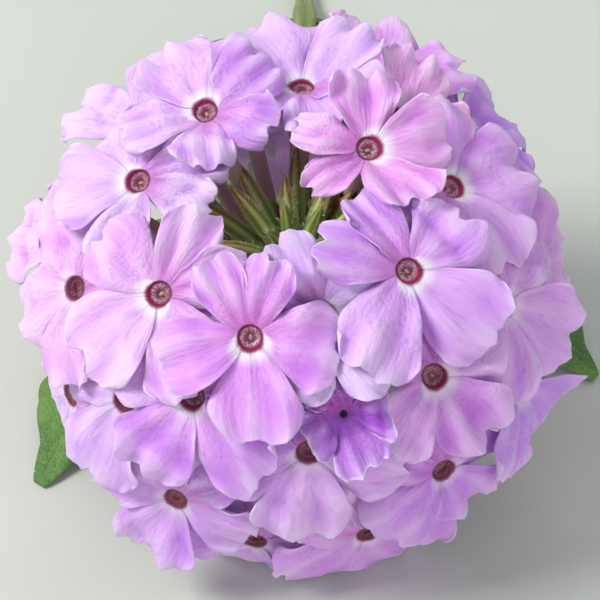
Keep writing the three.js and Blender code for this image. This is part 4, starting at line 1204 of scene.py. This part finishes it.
def hair_piece(name, hairs, finish, values=None):
    """A piece of hairs (hairs, 4, 3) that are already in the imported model's frame."""
    faces = np.array([[0, 1, 3], [1, 2, 3], [2, 0, 3], [0, 2, 1]])
    faces = (faces + 4 * np.arange(len(hairs)).reshape(-1, 1, 1)).reshape(-1, 3)
    make_piece(name, hairs.reshape(-1, 3), [faces], finish, values=values)


def down_on(batch, each, length, radius):
    """Hairs on a batch of tubes (tubes, rings, points round, 3), `each` to a tube."""
    tubes, rings, around = batch.shape[:3]
    which = np.repeat(np.arange(tubes), each)
    ring = DRAW.integers(int(rings * HAIRLESS_FOOT), rings - 1, len(which))
    point = DRAW.integers(0, around, len(which))
    share = DRAW.random((len(which), 1))
    here, ahead = batch[which, ring, point], batch[which, ring + 1, point]
    root = here * (1 - share) + ahead * share
    out = unit(root - batch[which, ring].mean(axis=1))
    way = unit(out + 0.5 * unit(ahead - here) + 0.25 * DRAW.standard_normal(root.shape))
    return hair_points(root - out * radius, way, length * (0.6 + 0.8 * DRAW.random(len(root))), radius)


def over_floor(hairs):
    """Only the hairs that stay above what the shoot lies on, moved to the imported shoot's place."""
    return shoot_to_frame(hairs[hairs[..., 2].min(axis=1) > LOWEST_HAIR])


def hair_finish(name, tone, bright, share, dull=None):
    """Pale, half clear, with brighter patches. In the throats of florets without a star it is duller."""
    f = new_finish(name, roughness=0.4, Subsurface_Weight=0.3, Subsurface_Scale=0.0003)
    patches, _ = blotches(f, 900.0, 0.3)
    layers = [(f.times(patches, share), bright)]
    if dull:
        layers.append((f.ease(f.stored("star"), 0.42, 0.85, 0.8, 0.0), dull))
    return f.paint(f.layers(tone, *layers))


DOWN_FINISH = hair_finish("down", (222, 226, 196), (255, 255, 250), 0.4)
calyx_down = down_on(calyces[:, :len(CALYX_UP)], 70, 0.6, 0.026)
bud_down = down_on(buds, 150, 0.8, 0.03)
down = head_to_frame(np.concatenate([calyx_down, bud_down]))
hair_piece("calyx_down", down, DOWN_FINISH)
print("hairs on the calyces and buds:", len(down))

# %% [markdown]
# ## Inside the throat
# Looking into a floret, one sees a brush of pale hairs that point from the wall to the middle, and in it
# the head of the stigma. The hairs keep rain and small thieves out of the nectar. A finish could only draw
# the brush on the wall, and it would look flat from near, so each hair is a spike of its own.

# %% Throat hairs
THROAT_HAIRS = 90
OPEN = np.flatnonzero(CUP <= CUPPED)


def throat_hairs(i):
    """Hairs round the throat's wall that point inwards, a little up and at random to the side."""
    angles = 2 * np.pi * (np.arange(THROAT_HAIRS) / THROAT_HAIRS + 0.05 * DRAW.random(THROAT_HAIRS))
    height = -0.18 - 0.4 * DRAW.random((THROAT_HAIRS, 1))
    flat = spokes(angles, OUTWARD[i], SIDE[i])
    ways = -flat + FACE[i] * (0.25 + 0.35 * DRAW.random((THROAT_HAIRS, 1)))
    ways = ways + 0.8 * np.cross(FACE[i], flat) * DRAW.standard_normal((THROAT_HAIRS, 1))
    length = 0.45 + 0.5 * DRAW.random(THROAT_HAIRS)
    return hair_points(in_face(i, 1.06, height, angles), ways, length, 0.055)


brush = head_to_frame(np.concatenate([throat_hairs(i) for i in OPEN]))
brush_finish = hair_finish("throat hair", (232, 166, 194), (248, 220, 230), 0.5, dull=(150, 92, 104))
hair_piece("throat_hairs", brush, brush_finish, values={"star": np.repeat(STAR[OPEN], 4 * THROAT_HAIRS)})
print("throat hairs:", len(brush))

# %% [markdown]
# ## Stigmas
# The stigma is a small club with two lobes that stands in the middle of the brush. A ball would be simpler,
# but a club has height and shows between the hairs. It is a short tube whose radius swells towards the top
# and carries the two lobes as a wave.

# %% Stigmas
stigma_up = np.linspace(0, 1, 7)
stigma_angles = circle(10)
stigma_width = np.interp(stigma_up, [0, 0.5, 0.8, 1], [0.16, 0.2, 0.28, 0.15])[:, None]
stigma_width = stigma_width * (1 + 0.3 * np.cos(2 * stigma_angles))


def stigma_rings(i):
    """A short club on the floret's axis, below the mouth: its radius swells and carries two lobes."""
    foot, knee, end = (CENTRE[i] - below * FACE[i] for below in (1.2, 0.9, 0.45))
    path, total = bent_path(foot, knee, end)
    return rings_at(*path(stigma_up * total), OUTWARD[i], stigma_width, stigma_angles)


def stigma_finish():
    """Pale with brownish patches, and duller in florets without a star."""
    f = new_finish("stigma", roughness=0.45, Subsurface_Weight=0.3, Subsurface_Scale=0.0004)
    patches, grain = blotches(f, 1500.0, 0.6)
    dull = f.ease(f.stored("star"), 0.42, 0.85, 0.8, 0.0)
    base = f.layers((208, 172, 136), (patches, (186, 136, 126)), (dull, (136, 84, 84)))
    return f.paint(base, grain, distance=0.05)


stigmas = np.stack([stigma_rings(i) for i in OPEN])
tube_piece("stigmas", stigmas, {"star": STAR[OPEN].reshape(-1, 1, 1)}, stigma_finish())
print("stigmas:", len(stigmas))

# %% [markdown]
# ## Stem
# A verbena stem is square with rounded corners and swells where its leaves stand in pairs. Under the head
# it bends down and back, and then it lies along the surface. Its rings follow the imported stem's centre
# line: a curve of four points, then a straight run with a slight sweep. The radius goes round as a wave
# with four crests, the corners. The cut end is drawn in to a pale, slightly hollow pith. A curve object
# with a square bevel would come near, but it can't end in a pith.

# %% Centre line and rings
BEND_END = 16
STEM_SWEEP = 1.2
LYING_FROM = STEM_START[1] + BEND_END


def stem_sweep(y):
    """How far the lying stem bends to the right: half a sine over its length."""
    return STEM_SWEEP * np.sin(np.pi * (y - LYING_FROM) / (STEM_END - LYING_FROM))


def stem_radius(y):
    """The plain radius, and a bell-shaped swelling at each node."""
    swell = sum(np.exp(-(((y - node) / 2.6) ** 2)) for node in (FRONT_NODE, BACK_NODE))
    return STEM_RADIUS + (NODE_RADIUS - STEM_RADIUS) * np.minimum(1, swell)


def stem_rest(y):
    """The centre line where the stem lies: a flat side's distance over what it lies on."""
    return np.stack([stem_sweep(y), y, STEM_FLAT * stem_radius(y) + STEM_LIFT], axis=-1)


u = np.linspace(0, 1, 30)[:, None]
lying = stem_rest(np.array(LYING_FROM))
corners = [STEM_START - AXIS_DOWN * 0.5, STEM_START + AXIS_DOWN * 7, lying - 10 * BACK, lying]
bend = ((1 - u) ** 3 * corners[0] + 3 * u * (1 - u) ** 2 * corners[1]
        + 3 * u ** 2 * (1 - u) * corners[2] + u ** 3 * corners[3])
stem_line = np.concatenate([bend, stem_rest(np.linspace(LYING_FROM + 0.7, STEM_END, 130))])
stem_angles = circle(32)
four_crests = np.cos(4 * stem_angles)
corner_wave = (STEM_FLAT + STEM_CORNER) / 2 - (STEM_CORNER - STEM_FLAT) / 2 * four_crests
stem_wide = stem_radius(stem_line[:, 1])[:, None] * corner_wave
stem_tube = rings_at(stem_line, unit(np.gradient(stem_line, axis=0)), RIGHT, stem_wide, stem_angles)
cut_rings = [stem_line[-1] + share * (stem_tube[-1] - stem_line[-1]) + push * BACK
             for share, push in ((0.93, 0.06), (0.8, 0.04), (0.55, -0.1), (0.2, -0.16))]
stem_tube = np.concatenate([stem_tube, np.stack(cut_rings)])[None]
stem_cut = np.append(np.zeros(len(stem_line)), [0.25, 0.6, 1, 1])[:, None]
print("stem rings:", stem_tube.shape[1])

# %% [markdown]
# ## The stem's finish
# The stem is a fresh green, paler on its corners, with brown patches and with fine streaks that run along
# it. The streaks are noise drawn out lengthwise, which is simpler than unrolling the surface and hardly
# differs on a stem that is nearly straight. A value stored on the last rings says where the cut is.

# %% Stem finish
def stem_finish():
    """Green with paler corners, brown patches, dark streaks and a pale cut."""
    f = new_finish("stem green", roughness=0.5, Subsurface_Weight=0.15, Subsurface_Scale=0.0008,
                   Specular_IOR_Level=0.4)
    patches, grain = blotches(f, 160.0, 0.5)
    streaks = f.cloud(900.0, 3.0, stretch=(1, 0.06, 1))
    base = f.layers(
        (112, 142, 70),
        (f.stored("ribs"), (150, 170, 104)),
        (f.times(patches, 0.45), (126, 110, 84)),
        (f.ease(streaks, 0.45, 0.75, 0.0, 0.35), (92, 122, 54)),
        (f.stored("cut"), (214, 220, 176)),
    )
    return f.paint(base, f.plus(streaks, f.times(grain, 0.4)), distance=0.1)


tube_piece("flower_stem", stem_tube, {"ribs": (1 - four_crests) / 2, "cut": stem_cut}, stem_finish(),
           ["stem"], place=shoot_to_frame)
stem_down = over_floor(down_on(stem_tube[:, :len(stem_line)], 1500, 0.7, 0.025))
hair_piece("stem_down", stem_down, DOWN_FINISH)
print("hairs on the stem:", len(stem_down))

# %% [markdown]
# ## Leaves
# The leaves stand in pairs, narrow at the foot and cut into pointed lobes that aim at the tip. The blade is
# quilted: veins are pressed into it and the green between them stands up. A leaf is a grid along and
# across. Its half width is a broad hump times a saw wave whose teeth rise slowly and fall fast, and points
# near the margin are also pulled ahead by the same wave. Veins are lines from the midrib to each lobe. A
# flat blade with a cut-out picture would be quicker, but it has no edge, no quilting and no real shape.

# %% Leaf shape
LEAVES = [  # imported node, side of the stem, node on the stem, heading, length, half width, arch
    ("leaf_front_left", -1, FRONT_NODE, 234, 56, 10.5, 4.5),
    ("leaf_front_right", 1, FRONT_NODE, -38, 46, 9.5, 4.0),
    ("leaf_back_left", -1, BACK_NODE, 247, 46, 9.0, 3.5),
    ("leaf_back_right", 1, BACK_NODE, -63, 42, 8.5, 3.5),
]
LEAF_STALK_HALF = 0.75
TEETH = 4
TOOTH_PEAK = 0.55  # where in its stretch a lobe is widest
STALK_END = 0.14  # share of the leaf's length that is stalk
LOBED = 0.78  # share of it that carries lobes
LEAF_THICKNESS = 0.34
LEAF_ALONG = np.linspace(0, 1, 121)
LEAF_ACROSS = np.sin(np.linspace(-np.pi / 2, np.pi / 2, 29)) * 0.4 + np.linspace(-1, 1, 29) * 0.6


def saw(phase):
    """0 at the cuts between lobes, 1 at their tips: a quarter sine up, then a faster one down."""
    place = phase - np.floor(phase)
    up = np.sin(np.pi / 2 * np.clip(place / TOOTH_PEAK, 0, 1)) ** 1.2
    down = np.cos(np.pi / 2 * np.clip((place - TOOTH_PEAK) / (1 - TOOTH_PEAK), 0, 1)) ** 0.7
    return np.where(place < TOOTH_PEAK, up, down)


def leaf_veins(s, t):
    """1 on the midrib and on the side veins that run from it to each lobe's tip, 0 between them."""
    edge = np.abs(t)
    midrib = np.exp(-((t / 0.05) ** 2)) * (1 - 0.4 * s)
    phase = (s - STALK_END) / LOBED * TEETH - TOOTH_PEAK + 0.75 * (1 - edge)
    to_line = np.abs(phase - np.round(phase))
    side = np.exp(-((to_line / 0.07) ** 2)) * (1 - 0.5 * edge) * (s > 0.16) * (s < 0.97)
    return np.maximum(midrib, 0.75 * side)


def leaf_middle(row):
    """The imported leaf's middle surface, with teeth as a wave and the blade quilted between its veins. The
    foot of the stalk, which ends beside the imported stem, is drawn into the stem's node."""
    _, sign, node, heading, length, half, arch = row
    s = LEAF_ALONG[:, None]
    t = LEAF_ACROSS[None, :]
    edge = np.abs(t)
    ahead = np.array([np.cos(heading * DEG), np.sin(heading * DEG), 0])
    left = np.array([-ahead[1], ahead[0], 0])
    blade = np.clip((s - STALK_END) / (1 - STALK_END), 0, 1)
    envelope = np.sin(np.pi * blade ** 0.72) ** 0.75
    phase = (s - STALK_END) / LOBED * TEETH
    inside = (s > STALK_END) & (s < STALK_END + LOBED)
    tooth = np.where(inside, saw(phase), 0)
    small = np.where(inside, saw(phase * 3 + 0.2), 0)
    width = LEAF_STALK_HALF + (half - LEAF_STALK_HALF) * envelope * (0.6 + 0.36 * tooth + 0.06 * small)
    forward = 0.07 * edge ** 1.5 * envelope * tooth
    height = 1.5 * (1 - s) + CLEAR * s + arch * np.sin(np.pi * s ** 0.9)
    height = height + 0.16 * edge * width * np.sin(np.pi * np.minimum(1, s * 1.15)) * (1 - s)
    quilt = 0.4 * (1 - leaf_veins(s, t)) * np.sin(np.pi * np.clip(edge * 1.02, 0, 1)) ** 0.6 * envelope
    ripple = 0.3 * edge ** 2 * np.sin(2 * np.pi * phase + sign) * envelope * (1 - s)
    foot = NODE_RADIUS * STEM_FLAT + GAP + LEAF_STALK_HALF * abs(ahead[1])
    start = np.array([stem_sweep(node) + sign * foot, node, 0])
    into_node = sign * (STEM_RADIUS - foot) * np.clip(1 - s / 0.12, 0, 1) ** 2
    along = length * (s + forward * (1 - s))
    across = t * width - length * 0.10 * sign * s ** 2
    return (start + along[..., None] * ahead + across[..., None] * left + into_node[..., None] * RIGHT
            + (height + quilt + ripple)[..., None] * UP)

# %% [markdown]
# ## The leaves' finish
# A verbena leaf is a dull dark green with pale sunken veins and a greyer underside. The veins could be
# drawn by a texture of their own, but these values come from the formula that also gives the shape, so
# that colour and relief agree. Fine noise in the bump gives the grain of the leaf's skin.

# %% Leaf finish
def leaf_finish():
    """Green with lighter patches, pale veins, a brownish rim and a grey-green underside."""
    f = new_finish("leaf green", roughness=0.52, Subsurface_Weight=0.12, Subsurface_Scale=0.0007,
                   Specular_IOR_Level=0.4, Sheen_Weight=0.15)
    patches, grain = blotches(f, 220.0, 0.6)
    base = f.layers(
        (70, 112, 42),
        (patches, (98, 142, 58)),
        (f.ease(f.stored("veins"), 0.25, 1.0, 0.0, 0.6), (150, 178, 104)),
        (f.ease(f.stored("rim"), 0.9, 1.0, 0.0, 0.35), (120, 110, 60)),
        (f.times(f.stored("under"), 0.6), (138, 160, 118)),
    )
    return f.paint(base, f.plus(f.cloud(1400.0, 3.0), f.times(grain, 0.5)), distance=0.25, strength=0.7)


LEAF_FINISH = leaf_finish()


# %% Leaves and their down
LEAF_HAIRS = 700
LEAF_LIFT = 0.03  # mm that a leaf's lowest points lie over the floor


def leaf_faces(rows, columns):
    """A leaf's two skins, and one closed ring of faces round its rim."""
    index = np.arange(rows * columns).reshape(rows, columns)
    under = index + rows * columns
    rim = np.concatenate([index[:, 0], index[-1, 1:], index[-2::-1, -1], index[0, -2:0:-1]])
    edge = ring_faces(rim, rim + rows * columns, turned=True)
    return [grid_faces(index), grid_faces(under, turned=True), edge]


def make_leaf(row):
    """Two skins round the middle surface, thinner towards the rim. Gives the leaf's hairs."""
    middle = leaf_middle(row)
    normal = unit(np.cross(np.gradient(middle, axis=0), np.gradient(middle, axis=1)))
    rim = np.maximum(np.abs(LEAF_ACROSS)[None, :], LEAF_ALONG[:, None] ** 30)
    half = (LEAF_THICKNESS / 2 * (1 - 0.55 * rim ** 12))[..., None]
    skins = np.stack([middle + normal * half, middle - normal * half])
    skins[..., 2] = np.maximum(skins[..., 2], LEAF_LIFT)
    veins = leaf_veins(LEAF_ALONG[:, None], LEAF_ACROSS[None, :])
    values = {"veins": [veins, veins], "rim": [rim, rim], "under": [0 * rim, 0 * rim + 1]}
    make_piece(f"green_{row[0]}", shoot_to_frame(skins.reshape(-1, 3)), leaf_faces(*rim.shape), LEAF_FINISH,
               [row[0]], values)
    i = DRAW.integers(2, len(LEAF_ALONG) - 2, LEAF_HAIRS)
    j = DRAW.integers(0, len(LEAF_ACROSS), LEAF_HAIRS)
    way = normal[i, j] + 0.5 * DRAW.standard_normal((LEAF_HAIRS, 3))
    return hair_points(skins[0][i, j], way, 0.35 + 0.3 * DRAW.random(LEAF_HAIRS), 0.022)


leaf_down = over_floor(np.concatenate([make_leaf(row) for row in LEAVES]))
hair_piece("leaf_down", leaf_down, DOWN_FINISH)
print("leaves:", len(LEAVES), "with", len(leaf_down), "hairs")

# %% [markdown]
# ## Surface and light
# The shoot lies on a plain pale surface. The light is what a bright overcast sky gives: it comes from
# everywhere above, a little more from the upper left, so that folds show without hard shadows. A sky of one
# colour gives the even part, and three broad lamps near the head give the rest.

# %% Floor
FLOOR_HALF = 3000.0
surface = new_finish("pale surface", roughness=0.9)
tone = surface.blend(surface.cloud(14.0), (200, 204, 192), (210, 213, 202))
floor_corners = FLOOR_HALF * np.array([(-1, -1, 0), (1, -1, 0), (1, 1, 0), (-1, 1, 0)])
floor = mesh_object("floor", floor_corners, [np.array([[0, 1, 2, 3]])], surface.paint(tone))
floor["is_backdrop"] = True
print("floor:", 2 * FLOOR_HALF * MM, "m square")

# %% Sky and lamps
world = bpy.data.worlds.new("overcast")
world.use_nodes = True
sky = world.node_tree.nodes["Background"].inputs
sky["Color"].default_value = colour(232, 237, 250)
sky["Strength"].default_value = 0.45
bpy.context.scene.world = world
bpy.context.scene.view_settings.view_transform = "Standard"


def soft_lamp(name, place, size, power):
    """A square lamp, placed in metres from the head and turned to face it."""
    lamp = bpy.data.lights.new(name, "AREA")
    lamp.size = size
    lamp.energy = power
    holder = add_object(name, lamp)
    holder.location = Vector(head_centre * MM) + Vector(place)
    holder.rotation_euler = faced(place)


LAMPS = [  # name, place, size, power
    ("key", (-0.42, -0.06, 0.48), 0.25, 3.5),
    ("fill", (0.25, -0.6, 0.16), 0.7, 1.9),
    ("back", (0.1, 0.5, 0.35), 0.5, 0.7),
]
for lamp_numbers in LAMPS:
    soft_lamp(*lamp_numbers)
print("lamps:", [name for name, *_ in LAMPS])

# %% Sizes and end
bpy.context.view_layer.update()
shown = [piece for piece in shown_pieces() if piece.type == "MESH"]
triangles = sum(sum(len(face.vertices) - 2 for face in piece.data.polygons) for piece in shown)
print("pieces:", len(shown), "triangles:", triangles)
